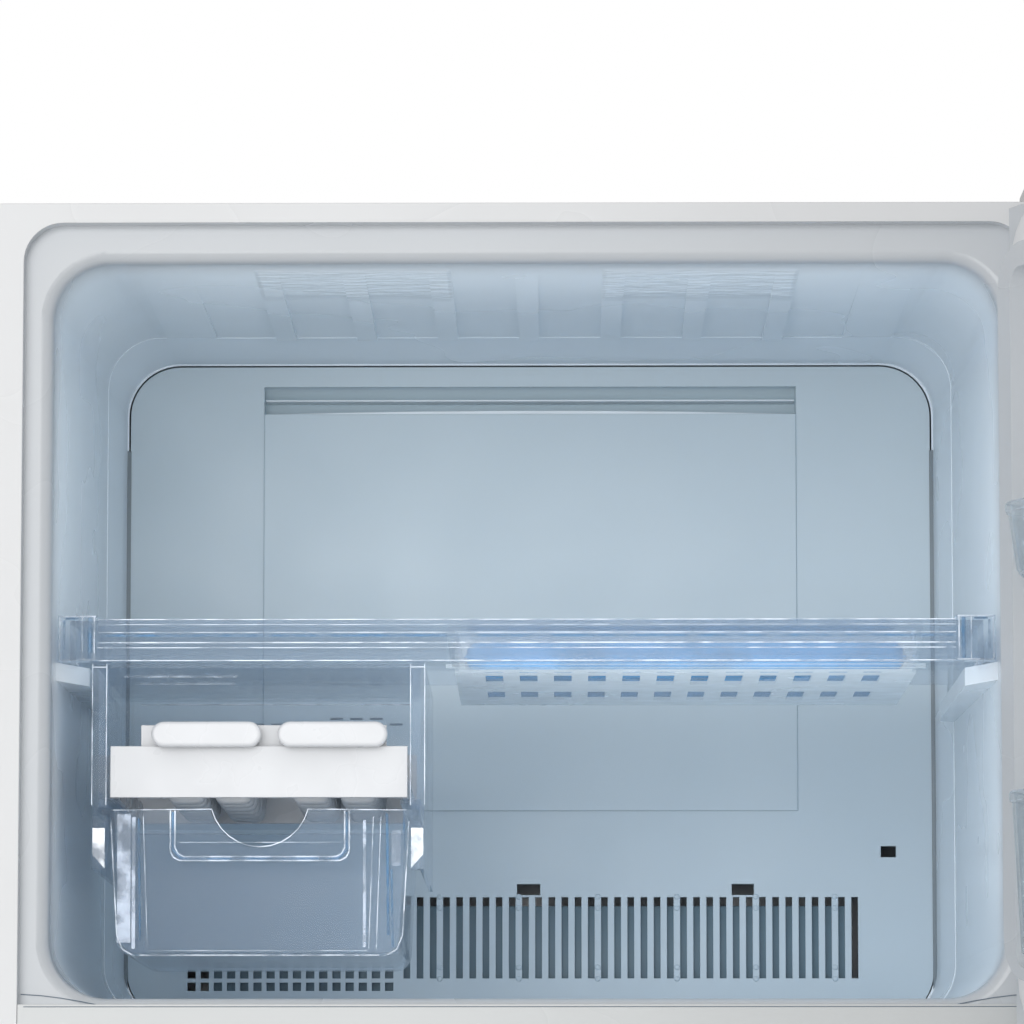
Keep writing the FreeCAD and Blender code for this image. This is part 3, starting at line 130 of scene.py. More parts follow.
class Finish:
    """One material and the few nodes that most finishes share."""

    def __init__(self, name, roughness, edge=True):
        self.material = bpy.data.materials.new(name)
        self.material.use_nodes = True
        self.tree = self.material.node_tree
        self.shader = self.tree.nodes["Principled BSDF"]
        self.place = self.add("TexCoord").outputs["Object"]
        self.shader.inputs["Roughness"].default_value = roughness
        self.height = None
        self.edge = edge

    def add(self, kind, **values):
        made = self.tree.nodes.new("ShaderNode" + kind)
        for name, value in values.items():
            made.inputs[name.replace("_", " ")].default_value = value
        return made

    def fix(self, **values):
        """Constants on the shader's own inputs."""
        for name, value in values.items():
            self.shader.inputs[name.replace("_", " ")].default_value = value

    def part(self, vector, axis):
        """One coordinate of a vector."""
        apart = self.add("SeparateXYZ")
        self.join(vector, apart.inputs[0])
        return apart.outputs[axis]

    def join(self, output, target):
        self.tree.links.new(output, target)

    def stretched(self, scale):
        """Object coordinates, squeezed along some axes."""
        mapping = self.add("Mapping")
        mapping.inputs["Scale"].default_value = scale
        self.join(self.place, mapping.inputs["Vector"])
        return mapping.outputs["Vector"]

    def noise(self, scale, detail=3.0, place=None, rough=0.5):
        made = self.add("TexNoise", Scale=scale, Detail=detail, Roughness=rough)
        self.join(place or self.place, made.inputs["Vector"])
        return made.outputs["Fac"]

    def band(self, value, low, high, out_low=0.0, out_high=1.0):
        """A value spread over a new range, with soft ends."""
        made = self.add("MapRange")
        made.interpolation_type = "SMOOTHSTEP"
        for index, amount in enumerate((low, high, out_low, out_high), 1):
            made.inputs[index].default_value = amount
        self.join(value, made.inputs[0])
        return made.outputs[0]

    def within(self, value, low, high, soft):
        """One between two limits and zero outside them."""
        inside = self.band(value, low, low + soft)
        return self.times(inside, self.band(value, high - soft, high, 1.0, 0.0))

    def times(self, one, two):
        made = self.add("Math")
        made.operation = "MULTIPLY"
        self.join(one, made.inputs[0])
        self.join(two, made.inputs[1])
        return made.outputs[0]

    def blend(self, factor, one, two):
        made = self.add("Mix")
        made.data_type = "RGBA"
        self.join(factor, made.inputs[0])
        for socket, colour in ((made.inputs[6], one), (made.inputs[7], two)):
            if isinstance(colour, bpy.types.NodeSocket):
                self.join(colour, socket)
            else:
                socket.default_value = (*colour[:3], 1.0)
        return made.outputs[2]

    def drift(self, colour, spread, scale, place=None):
        """A base colour that changes a little from place to place."""
        factor = self.band(self.noise(scale, 2.0, place), 0.2, 0.8)
        pale = [min(1.0, part * (1 + spread)) for part in colour[:3]]
        deep = [part * (1 - spread) for part in colour[:3]]
        return self.blend(factor, deep, pale)

    def colour(self, output):
        self.join(output, self.shader.inputs["Base Color"])

    def rough(self, low, high, scale, place=None):
        self.join(self.band(self.noise(scale, 2.0, place), 0.2, 0.8, low, high),
                  self.shader.inputs["Roughness"])

    def bump(self, height, strength, distance):
        made = self.add("Bump", Strength=strength, Distance=distance)
        self.join(height, made.inputs["Height"])
        if self.height:
            self.join(self.height, made.inputs["Normal"])
        self.height = made.outputs["Normal"]

    def done(self):
        """Soft edges under the bumps, then the material."""
        if self.edge:
            soft = self.add("Bevel", Radius=bpy.context.scene.fridge_sizes.edge)
            soft.samples = 4
            bumps = [node for node in self.tree.nodes if node.type == "BUMP"]
            free = [node for node in bumps if not node.inputs["Normal"].is_linked]
            if free:
                self.join(soft.outputs["Normal"], free[0].inputs["Normal"])
            else:
                self.height = soft.outputs["Normal"]
        if self.height:
            self.join(self.height, self.shader.inputs["Normal"])
        return self.material


def enamel(name, colour, peel=0.05):
    made = Finish(name, 0.25)
    made.colour(made.drift(colour, 0.012, 2.5))
    made.rough(0.22, 0.30, 9.0)
    made.bump(made.noise(520.0, 2.0), peel, 0.0004)
    made.fix(Coat_Weight=0.4, Coat_Roughness=0.12)
    return made.done()


def liner_sheet(name, ledge, wall):
    """Vacuum formed sheet, slightly wavy inside; its colour turns from the greyer ledge to a cooler blue deeper
    in, which is painted light.
    """
    made = Finish(name, 0.3, edge=False)
    # The liner is one sheet: the blend from the ledge colour at the front to the bluer wall colour deeper in is
    # painted light.
    deep = made.band(made.part(made.place, "Y"), -0.287, -0.22)
    drifted = made.drift(wall, 0.02, 4.0)
    made.colour(made.blend(deep, ledge, drifted))
    made.rough(0.22, 0.32, 5.0)
    across = made.add("Math")
    across.operation = "ABSOLUTE"
    made.join(made.part(made.place, "X"), across.inputs[0])
    patch = made.times(made.within(across.outputs[0], 0.050, 0.183, 0.004),
                       made.within(made.part(made.place, "Y"), -0.266, -0.125, 0.03))
    patch = made.times(patch, made.band(made.part(made.place, "Z"), 1.645, 1.65))
    hammered = made.noise(1.0, 3.0, made.stretched((45.0, 120.0, 1.0)))
    made.bump(made.times(hammered, patch), 0.8, 0.004)
    made.bump(made.noise(3.0, 1.0), 0.1, 0.004)
    made.fix(Coat_Weight=0.35, Coat_Roughness=0.18)
    return made.done()


def satin_cover(name, colour):
    made = Finish(name, 0.42)
    # Darker towards the bottom, from a darker copy of the colour at 1.18 m to the full colour at 1.66 m: painted
    # shade.
    level = made.band(made.part(made.place, "Z"), 1.18, 1.66)
    low = (colour[0] * 0.90, colour[1] * 0.93, colour[2] * 0.97)
    made.colour(made.blend(level, low, made.drift(colour, 0.015, 3.0)))
    made.rough(0.38, 0.5, 15.0)
    made.bump(made.noise(900.0, 2.0), 0.12, 0.0003)
    return made.done()


def moulded(name, colour, roughness=0.38, grain=0.1):
    made = Finish(name, roughness)
    made.colour(made.drift(colour, 0.03, 22.0))
    made.rough(roughness - 0.06, roughness + 0.08, 40.0)
    made.bump(made.noise(1100.0, 2.0), grain, 0.0003)
    return made.done()


def clear_moulding(name, colour, roughness=0.03, body=0.16):
    """Clear polystyrene: almost open face on, milky along its edges, with faint flow marks."""
    made = Finish(name, roughness, edge=False)
    made.colour(made.drift(colour, 0.015, 18.0))
    made.rough(roughness, roughness + 0.06, 30.0)
    made.bump(made.noise(35.0, 2.0, made.stretched((1.0, 1.0, 0.3))), 0.08, 0.001)
    facing = made.add("LayerWeight", Blend=0.25)
    alpha = made.band(facing.outputs["Facing"], 0.0, 1.0, body, 0.75)
    made.join(alpha, made.shader.inputs["Alpha"])
    made.fix(Transmission_Weight=0.75, IOR=1.35)
    return made.done()


def painted_clear_light(name, colour, strength):
    """Painted light along clear mouldings: bright lines where a moulding gathers light, and dark lines as painted
    reflections.
    """
    made = Finish(name, 0.12, edge=False)
    made.colour(made.drift(colour, 0.03, 60.0))
    broken = made.band(made.noise(70.0, 3.0), 0.35, 0.68, strength * 0.2, min(1.0, strength * 1.35))
    made.join(broken, made.shader.inputs["Alpha"])
    made.rough(0.08, 0.2, 50.0)
    return made.done()


def frosted(name, colour, clarity=0.5):
    made = Finish(name, 0.3)
    made.colour(made.drift(colour, 0.03, 14.0))
    made.rough(0.22, 0.4, 26.0)
    made.bump(made.noise(420.0, 2.0), 0.08, 0.0004)
    made.fix(Transmission_Weight=clarity, IOR=1.4)
    return made.done()


def tray_floor(name, colour):
    """Tinted moulding whose floor is frosted and whose walls are nearly clear."""
    made = Finish(name, 0.2, edge=False)
    made.colour(made.drift(colour, 0.03, 14.0))
    made.rough(0.14, 0.3, 26.0)
    normal = made.add("NewGeometry").outputs["Normal"]
    under = made.band(made.part(normal, "Z"), -0.7, -0.2, 0.95, 0.14)
    made.join(under, made.shader.inputs["Alpha"])
    return made.done()


def shelf_glass(name, colour):
    made = Finish(name, 0.02, edge=False)
    made.colour(made.drift(colour, 0.01, 6.0))
    made.rough(0.01, 0.05, 12.0)
    made.fix(Transmission_Weight=1.0, IOR=1.5)
    return made.done()


def galvanised(name, colour):
    made = Finish(name, 0.4)
    cells = made.add("TexVoronoi", Scale=70.0)
    made.join(made.place, cells.inputs["Vector"])
    grey = made.add("RGBToBW")
    made.join(cells.outputs["Color"], grey.inputs[0])
    pale = [min(1.0, part * 1.12) for part in colour[:3]]
    deep = [part * 0.85 for part in colour[:3]]
    made.colour(made.blend(grey.outputs[0], deep, pale))
    made.join(made.band(grey.outputs[0], 0.0, 1.0, 0.32, 0.5), made.shader.inputs["Roughness"])
    made.fix(Metallic=0.9)
    return made.done()


def drawn_metal(name, colour, along=(400.0, 400.0, 6.0), roughness=0.28):
    """Metal with fine lines along one axis."""
    made = Finish(name, roughness)
    lines = made.stretched(along)
    made.colour(made.drift(colour, 0.06, 1.0, lines))
    made.rough(roughness - 0.08, roughness + 0.12, 1.0, lines)
    made.bump(made.noise(1.0, 2.0, lines), 0.08, 0.0002)
    made.fix(Metallic=1.0)
    return made.done()


def foam(name, colour):
    made = Finish(name, 0.85)
    made.colour(made.drift(colour, 0.1, 60.0))
    bubbles = made.add("TexVoronoi", Scale=420.0)
    made.join(made.place, bubbles.inputs["Vector"])
    made.bump(bubbles.outputs["Distance"], 0.5, 0.001)
    return made.done()


def rubber(name, colour):
    made = Finish(name, 0.55)
    made.colour(made.drift(colour, 0.04, 30.0))
    made.rough(0.48, 0.66, 55.0)
    made.bump(made.noise(380.0, 3.0), 0.15, 0.0004)
    return made.done()


def gel_film(name, colour):
    """Blue film over gel, lighter where the gel lies thin."""
    made = Finish(name, 0.18)
    pale = [min(1.0, part * 1.5 + 0.01) for part in colour[:3]]
    cloud = made.band(made.noise(28.0, 5.0), 0.35, 0.7)
    made.colour(made.blend(cloud, colour[:3], pale))
    made.bump(made.noise(60.0, 3.0), 0.3, 0.002)
    made.fix(Coat_Weight=0.15, Coat_Roughness=0.2, Specular_IOR_Level=0.25)
    return made.done()


def all_finishes():
    """One material for each slot of the record."""
    colours = bpy.context.scene.fridge_colours
    enamel_tint, white, clear, dark = colours.enamel, colours.white, colours.clear, colours.dark
    return {
        "cabinet_paint": enamel("Cabinet enamel", enamel_tint),
        "door_paint": enamel("Door enamel", enamel_tint),
        "steel_sheet": galvanised("Galvanised sheet", (0.62, 0.64, 0.66)),
        "insulation": foam("Insulating foam", (0.76, 0.76, 0.72)),
        "liner_plastic": liner_sheet("Liner sheet", colours.ledge, colours.wall),
        "mullion_plastic": enamel("Mullion strip", (0.70, 0.72, 0.72), 0.02),
        "panel_plastic": satin_cover("Evaporator cover", colours.cover),
        "fin_metal": drawn_metal("Fin aluminium", (0.75, 0.77, 0.79)),
        "motor_plastic": moulded("Motor plastic", dark),
        "fan_plastic": moulded("Fan plastic", (0.55, 0.57, 0.60)),
        "clear_plastic": clear_moulding("Clear plastic", clear, 0.03, 0.2),
        "white_plastic": moulded("White plastic", white, 0.28, 0.04),
        "tray_plastic": moulded("Ice tray plastic", white, 0.4, 0.06),
        "tray_tint": tray_floor("Tinted tray", (0.74, 0.84, 0.92)),
        "cool_pack_film": gel_film("Cool pack film", colours.pack),
        "shelf_glass": shelf_glass("Shelf glass", (0.88, 0.97, 0.94)),
        "crisper_plastic": clear_moulding("Crisper plastic", (0.86, 0.93, 0.97), 0.06, 0.3),
        "lamp_plastic": frosted("Lamp plastic", (0.9, 0.9, 0.87), 0.35),
        "grey_plastic": moulded("Grey plastic", (0.42, 0.45, 0.48)),
        "hinge_steel": drawn_metal("Hinge steel", (0.6, 0.61, 0.63), (60.0, 500.0, 60.0), 0.35),
        "cover_plastic": moulded("Hinge cover plastic", (0.78, 0.79, 0.80)),
        "compressor_paint": enamel("Compressor enamel", dark, 0.2),
        "coil_steel": enamel("Coil enamel", dark, 0.1),
        "dark_plastic": moulded("Dark plastic", dark),
        "foot_plastic": moulded("Foot plastic", dark, 0.5, 0.15),
        "gasket_rubber": rubber("Gasket", (0.86, 0.87, 0.88)),
        "handle_metal": drawn_metal("Handle aluminium", (0.72, 0.73, 0.75)),
        # The scoop takes a lighter copy of the cover colour and the vane and lip a pale finish: painted light on
        # the air slot.
        "scoop": satin_cover("Air slot scoop", [min(1.0, part * 1.2) for part in colours.cover]),
        "edge highlight": moulded("Painted edge highlight", (0.80, 0.86, 0.90)),
        # Dark finish painted as the shade in gaps and slots.
        "shade": moulded("Painted gap shade", (0.22, 0.28, 0.35)),
        # Lines and sheets in these four finishes are painted light on the clear mouldings: highlights, and pale
        # and dark blue reflections.
        "clear highlight": painted_clear_light("Painted clear highlight", (0.80, 0.87, 0.96), 0.5),
        "white highlight": painted_clear_light("Painted white highlight", (0.78, 0.82, 0.87), 0.85),
        "dark reflection": painted_clear_light("Painted dark reflection", (0.08, 0.22, 0.40), 0.45),
        "pale reflection": painted_clear_light("Painted pale reflection", (0.74, 0.81, 0.92), 0.42),
        # A darker copy of the cover colour: painted shadow in the gaps at the cover's sides.
        "side_seam_shade": satin_cover("Cover side seam shade", [part * 0.42 for part in colours.cover]),
        # Dark sheet behind the grille, standing for an air baffle; its dark colour is painted shade seen through
        # the slots.
        "shade_sheet": satin_cover("Grille shade sheet", (0.17, 0.27, 0.33)),
        "bin": clear_moulding("Door bin plastic", (0.80, 0.91, 0.98), 0.05, 0.22),
    }


FINISHES = {}


class FRIDGE_OT_finish_frame(bpy.types.Operator):
    """Give every frame node the finish of its slot"""
    bl_idname = "fridge.finish_frame"
    bl_label = "Finish the frame"

    def execute(self, context):
        FINISHES.update(all_finishes())
        slots = {part["node"]: part["material_slot"] for part in frame["record"]["subparts"]}
        for name, thing in NODES.items():
            thing.data.materials.clear()
            thing.data.materials.append(FINISHES[slots[name]])
        return {"FINISHED"}


# ---------------------------------------------------------------- shapes

def rounded(a_low, a_high, b_low, b_high, radius, steps=4):
    """Points round a rectangle with round corners, always the same number of them."""
    points = []
    left, right, near, far = a_low + radius, a_high - radius, b_low + radius, b_high - radius
    for a_mid, b_mid, first in ((right, near, -90), (right, far, 0), (left, far, 90), (left, near, 180)):
        for step in range(steps + 1):
            angle = math.radians(first + 90 * step / steps)
            points.append((a_mid + radius * math.cos(angle), b_mid + radius * math.sin(angle)))
    return points


class Form:
    """A mesh in the making, in millimetres."""

    def __init__(self):
        self.mesh = bmesh.new()

    def loft(self, rings, capped=True, closed=False):
        """A skin over rings of equally many points."""
        made = [[self.mesh.verts.new(point) for point in ring] for ring in rings]
        pairs = list(zip(made, made[1:]))
        if closed:
            pairs.append((made[-1], made[0]))
        for one, two in pairs:
            for index in range(len(one)):
                after = (index + 1) % len(one)
                self.mesh.faces.new((one[index], one[after], two[after], two[index]))
        if capped and not closed:
            self.mesh.faces.new(made[0][::-1])
            self.mesh.faces.new(made[-1])

    def upright(self, levels, steps=4):
        """A loft of round-cornered outlines: each level is z, x low, x high, y low, y high, radius."""
        self.loft([[(x, y, z) for x, y in rounded(*limits, steps)] for z, *limits in levels])

    def across(self, profile, x_low, x_high):
        """A profile of Y and Z, drawn out along X."""
        self.loft([[(x, y, z) for y, z in profile] for x in (x_low, x_high)])

    def pad(self, low, high, radius):
        """A block with softened edges."""
        soft = radius * 0.3
        levels = []
        for z, inset in ((low[2], radius), (low[2] + soft, soft), (low[2] + radius, 0.0),
                         (high[2] - radius, 0.0), (high[2] - soft, soft), (high[2], radius)):
            levels.append((z, low[0] + inset, high[0] - inset, low[1] + inset, high[1] - inset, radius))
        self.upright(levels)

    def bead(self, path, radius, closed=False):
        """A thin round bead along a path."""
        curve = bpy.data.curves.new("Bead", "CURVE")
        curve.dimensions = "3D"
        curve.bevel_depth = radius
        curve.bevel_resolution = 1
        curve.use_fill_caps = True
        line = curve.splines.new("POLY")
        line.points.add(len(path) - 1)
        for point, place in zip(line.points, path):
            point.co = (*place, 1.0)
        line.use_cyclic_u = closed
        holder = bpy.data.objects.new("Bead", curve)
        bpy.context.scene.collection.objects.link(holder)
        self.take(plain_mesh(holder))
        bpy.data.objects.remove(holder)

    def take(self, mesh):
        self.mesh.from_mesh(mesh)
        bpy.data.meshes.remove(mesh)

    def frame_loop(self, limits, radius, profile):
        """A closed profile of outward offset and Y, carried round a rectangle in X and Z."""
        x_low, x_high, z_low, z_high = limits
        rings = []
        for out, y in profile:
            outline = rounded(x_low - out, x_high + out, z_low - out, z_high + out, radius + out, 5)
            rings.append([(x, y, z) for x, z in outline])
        self.loft(rings, closed=True)

    def done(self, name, body, slot, hides=(), finish=None, on_door=False, smooth=40.0):
        """Close the mesh and hand the piece to the frame."""
        bmesh.ops.remove_doubles(self.mesh, verts=self.mesh.verts, dist=1e-3)
        bmesh.ops.dissolve_degenerate(self.mesh, edges=self.mesh.edges, dist=1e-4)
        bmesh.ops.recalc_face_normals(self.mesh, faces=self.mesh.faces)
        self.mesh.transform(Matrix.Scale(MM, 4))
        if on_door:
            self.mesh.transform(OPENED)
        mesh = bpy.data.meshes.new(name)
        self.mesh.to_mesh(mesh)
        self.mesh.free()
        mesh.materials.clear()
        mesh.materials.append(finish or FINISHES[slot])
        piece = bpy.data.objects.new(name, mesh)
        bpy.context.scene.collection.objects.link(piece)
        mesh.shade_smooth()
        mesh.set_sharp_from_angle(angle=math.radians(smooth))
        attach(piece, body)
        if hides:
            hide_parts(*hides)
        return piece


def box(node):
    """The lowest and highest corner of a node, in millimetres."""
    low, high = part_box(node)
    return Vector(low) / MM, Vector(high) / MM


def plain_mesh(thing):
    """The evaluated mesh of an object, as plain data."""
    graph = bpy.context.evaluated_depsgraph_get()
    return bpy.data.meshes.new_from_object(thing.evaluated_get(graph))


def door_limits(node):
    """The lowest and highest corner of a door node as it lies with the door shut."""
    points = [SHUT @ vertex.co / MM for vertex in NODES[node].data.vertices]
    low = Vector([min(point[axis] for point in points) for axis in range(3)])
    high = Vector([max(point[axis] for point in points) for axis in range(3)])
    return low, high


# ---------------------------------------------------------------- repeats

class Repeat:
    """Small shapes at equal steps along a line or round a circle."""
    SHAPES = {
        "dome": ("GeometryNodeMeshUVSphere", {"Segments": 16, "Rings": 8, "Radius": 0.5}),
        "disc": ("GeometryNodeMeshCylinder", {"Vertices": 20, "Radius": 0.5, "Depth": 1.0}),
        "block": ("GeometryNodeMeshCube", {"Size": (1.0, 1.0, 1.0)}),
    }

    def __init__(self, shape, round_circle=False):
        self.tree = bpy.data.node_groups.new("Repeat " + shape, "GeometryNodeTree")
        self.keys = {}
        self.tree.interface.new_socket("Geometry", in_out="OUTPUT", socket_type="NodeSocketGeometry")
        for label, kind in (("Count", "Int"), ("Start", "Vector"), ("Step", "Vector"),
                            ("Size", "Vector"), ("Turn", "Vector"), ("Radius", "Float"),
                            ("Finish", "Material")):
            socket = self.tree.interface.new_socket(label, in_out="INPUT",
                                                    socket_type="NodeSocket" + kind)
            self.keys[label] = socket.identifier
        add, link = self.tree.nodes.new, self.tree.links.new
        inputs = add("NodeGroupInput").outputs
        kind, values = self.SHAPES[shape]
        one = add(kind)
        for label, value in values.items():
            one.inputs[label].default_value = value
        spread = add("GeometryNodeInstanceOnPoints")
        link(one.outputs[0], spread.inputs["Instance"])
        link(inputs["Size"], spread.inputs["Scale"])
        if round_circle:
            path = add("GeometryNodeMeshCircle")
            link(inputs["Count"], path.inputs["Vertices"])
            link(inputs["Radius"], path.inputs["Radius"])
            facing = add("FunctionNodeAlignEulerToVector")
            place = add("GeometryNodeInputPosition")
            link(place.outputs[0], facing.inputs["Vector"])
            link(facing.outputs[0], spread.inputs["Rotation"])
        else:
            path = add("GeometryNodeMeshLine")
            path.mode = "OFFSET"
            link(inputs["Count"], path.inputs["Count"])
            link(inputs["Step"], path.inputs["Offset"])
        link(path.outputs[0], spread.inputs["Points"])
        moved = add("GeometryNodeTransform")
        link(spread.outputs[0], moved.inputs["Geometry"])
        link(inputs["Start"], moved.inputs["Translation"])
        link(inputs["Turn"], moved.inputs["Rotation"])
        real = add("GeometryNodeRealizeInstances")
        link(moved.outputs[0], real.inputs[0])
        coat = add("GeometryNodeSetMaterial")
        link(real.outputs[0], coat.inputs["Geometry"])
        link(inputs["Finish"], coat.inputs["Material"])
        link(coat.outputs[0], add("NodeGroupOutput").inputs[0])

    def mesh(self, finish, count, start, size, step=(0, 0, 0), turn=(0, 0, 0), radius=0.0):
        holder = bpy.data.objects.new("Repeat", bpy.data.meshes.new("Repeat"))
        bpy.context.scene.collection.objects.link(holder)
        modifier = holder.modifiers.new("Repeat", "NODES")
        modifier.node_group = self.tree
        for label, value in (("Count", count), ("Start", start), ("Step", step), ("Size", size),
                             ("Turn", turn), ("Radius", radius), ("Finish", finish)):
            modifier[self.keys[label]] = value
        made = plain_mesh(holder)
        holder.modifiers.clear()
        bpy.data.objects.remove(holder)
        return made


def repeated(name, body, slot, repeat, rows, finish=None, **more):
    """One piece from several rows of one repeated shape."""
    form = Form()
    for row in rows:
        form.take(repeat.mesh(finish or FINISHES[slot], **row))
    return form.done(name, body, slot, finish=finish, **more)


# ---------------------------------------------------------------- pieces of the freezer room

class FRIDGE_OT_air_slot(bpy.types.Operator):
    """Air slot of the evaporator cover: scoop, vane and bowed lower lip, painted lighter than the cover as light
    on them
    """
    bl_idname = "fridge.air_slot"
    bl_label = "Air slot"

    def execute(self, context):
        low, high = box("slot_louvre")
        half = high.x - 3
        face = low.y - 0.5
        z_low, z_high = low.z + 8, high.z - 3
        middle = (z_low + z_high) / 2
        scoop = Form()
        inner = [(4, z_high + 0.2), (15, z_high - 0.5), (21, middle + 4), (22, middle),
                 (18, z_low + 3), (10, z_low), (4, z_low - 0.4)]
        outer = [(4, z_low - 2.4), (11, z_low - 2), (20, z_low + 1.5), (24, middle),
                 (23, middle + 5), (16, z_high + 1.5), (4, z_high + 2.2)]
        scoop.across([(face + y, z) for y, z in inner + outer], -half, half)
        for side in (-1, 1):
            edge = sorted((side * half, side * (half + 2.5)))
            scoop.pad((edge[0], face + 4, z_low - 2),
                      (edge[1], face + 23, z_high + 2), 0.6)
        # The scoop's lighter finish is painted light.
        scoop.done("air_slot_scoop", "cabinet", "panel_plastic", ("slot_louvre",),
                   FINISHES["scoop"])
        # The vane and lip in the pale finish are painted highlights.
        vane = Form()
        vane.pad((-half + 1, face + 0.3, middle - 0.6),
                 (half - 1, face + 17, middle + 0.7), 0.5)
        vane.done("air_slot_vane", "cabinet", "panel_plastic", ("slot_louvre",), FINISHES["edge highlight"])
        lip = Form()
        rings = []
        for step in range(25):
            share = step / 12 - 1
            top = z_low + 0.2 + 2.6 * (1 - share * share)
            rings.append([(share * half * 0.998, face + y, z) for y, z in
                          ((0.0, z_low - 0.3), (0.0, top - 0.5), (0.5, top), (2.8, top),
                           (2.8, z_low - 0.3))])
        lip.loft(rings)
        lip.done("air_slot_lip", "cabinet", "panel_plastic", finish=FINISHES["edge highlight"])
        return {"FINISHED"}


class FRIDGE_OT_ice_trays(bpy.types.Operator):
    """Ice trays with two columns of tapering cups"""
    bl_idname = "fridge.ice_trays"
    bl_label = "Ice trays"

    def execute(self, context):
        for side in ("left", "right"):
            self.tray(side)
        return {"FINISHED"}

    def tray(self, side):
        low, high = box("ice_tray_" + side)
        middle = (low.x + high.x) / 2
        start, stop = low.y + 14, high.y - 28
        floor = low.z
        rim = floor + 37
        half = (high.x - low.x) / 2
        cups = Form()
        pitch = (stop - start) / 6
        for row in range(6):
            for column in (-1, 0):
                x_low = middle + column * half
                self.cup(cups, x_low, x_low + half, start + row * pitch, start + (row + 1) * pitch,
                         floor, rim)
        bmesh.ops.remove_doubles(cups.mesh, verts=cups.mesh.verts, dist=1e-2)
        open_edges = [edge for edge in cups.mesh.edges if edge.is_boundary]
        bmesh.ops.bridge_loops(cups.mesh, edges=open_edges)
        pivot = floor + 43
        for y_low, y_high in ((start - 0.2, start + 2.2), (stop - 2.2, stop + 0.2)):
            cups.pad((middle - 9, y_low, rim - 8), (middle + 9, y_high, pivot + 6), 0.8)
        for y_low, y_high in ((low.y, start + 0.5), (stop - 0.5, high.y)):
            cups.bead([(middle, y_low, pivot), (middle, y_high, pivot)], 4)
        cups.done("ice_cups_" + side, "ice_twist_" + side, "tray_plastic", ("ice_tray_" + side,))

    def cup(self, form, x_low, x_high, y_low, y_high, floor, rim):
        def outline(inset, z, radius):
            points = rounded(x_low + inset, x_high - inset, y_low + inset, y_high - inset, radius)
            return [(x, y, z) for x, y in points]

        inside = (outline(0.0, rim, 1e-3), outline(1.6, rim, 4),
                  outline(2.2, rim - 1, 4), outline(5, floor + 6, 5),
                  outline(8, floor + 2.4, 4))
        outside = (outline(0.0, rim - 1.6, 1e-3), outline(1, rim - 1.6, 3),
                   outline(3, floor + 6, 6), outline(4.5, floor + 2, 6),
                   outline(7, floor + 0.2, 5))
        for rings in (inside, outside):
            form.loft(rings, capped=False)
            form.mesh.faces.new([form.mesh.verts.new(point) for point in rings[-1]])


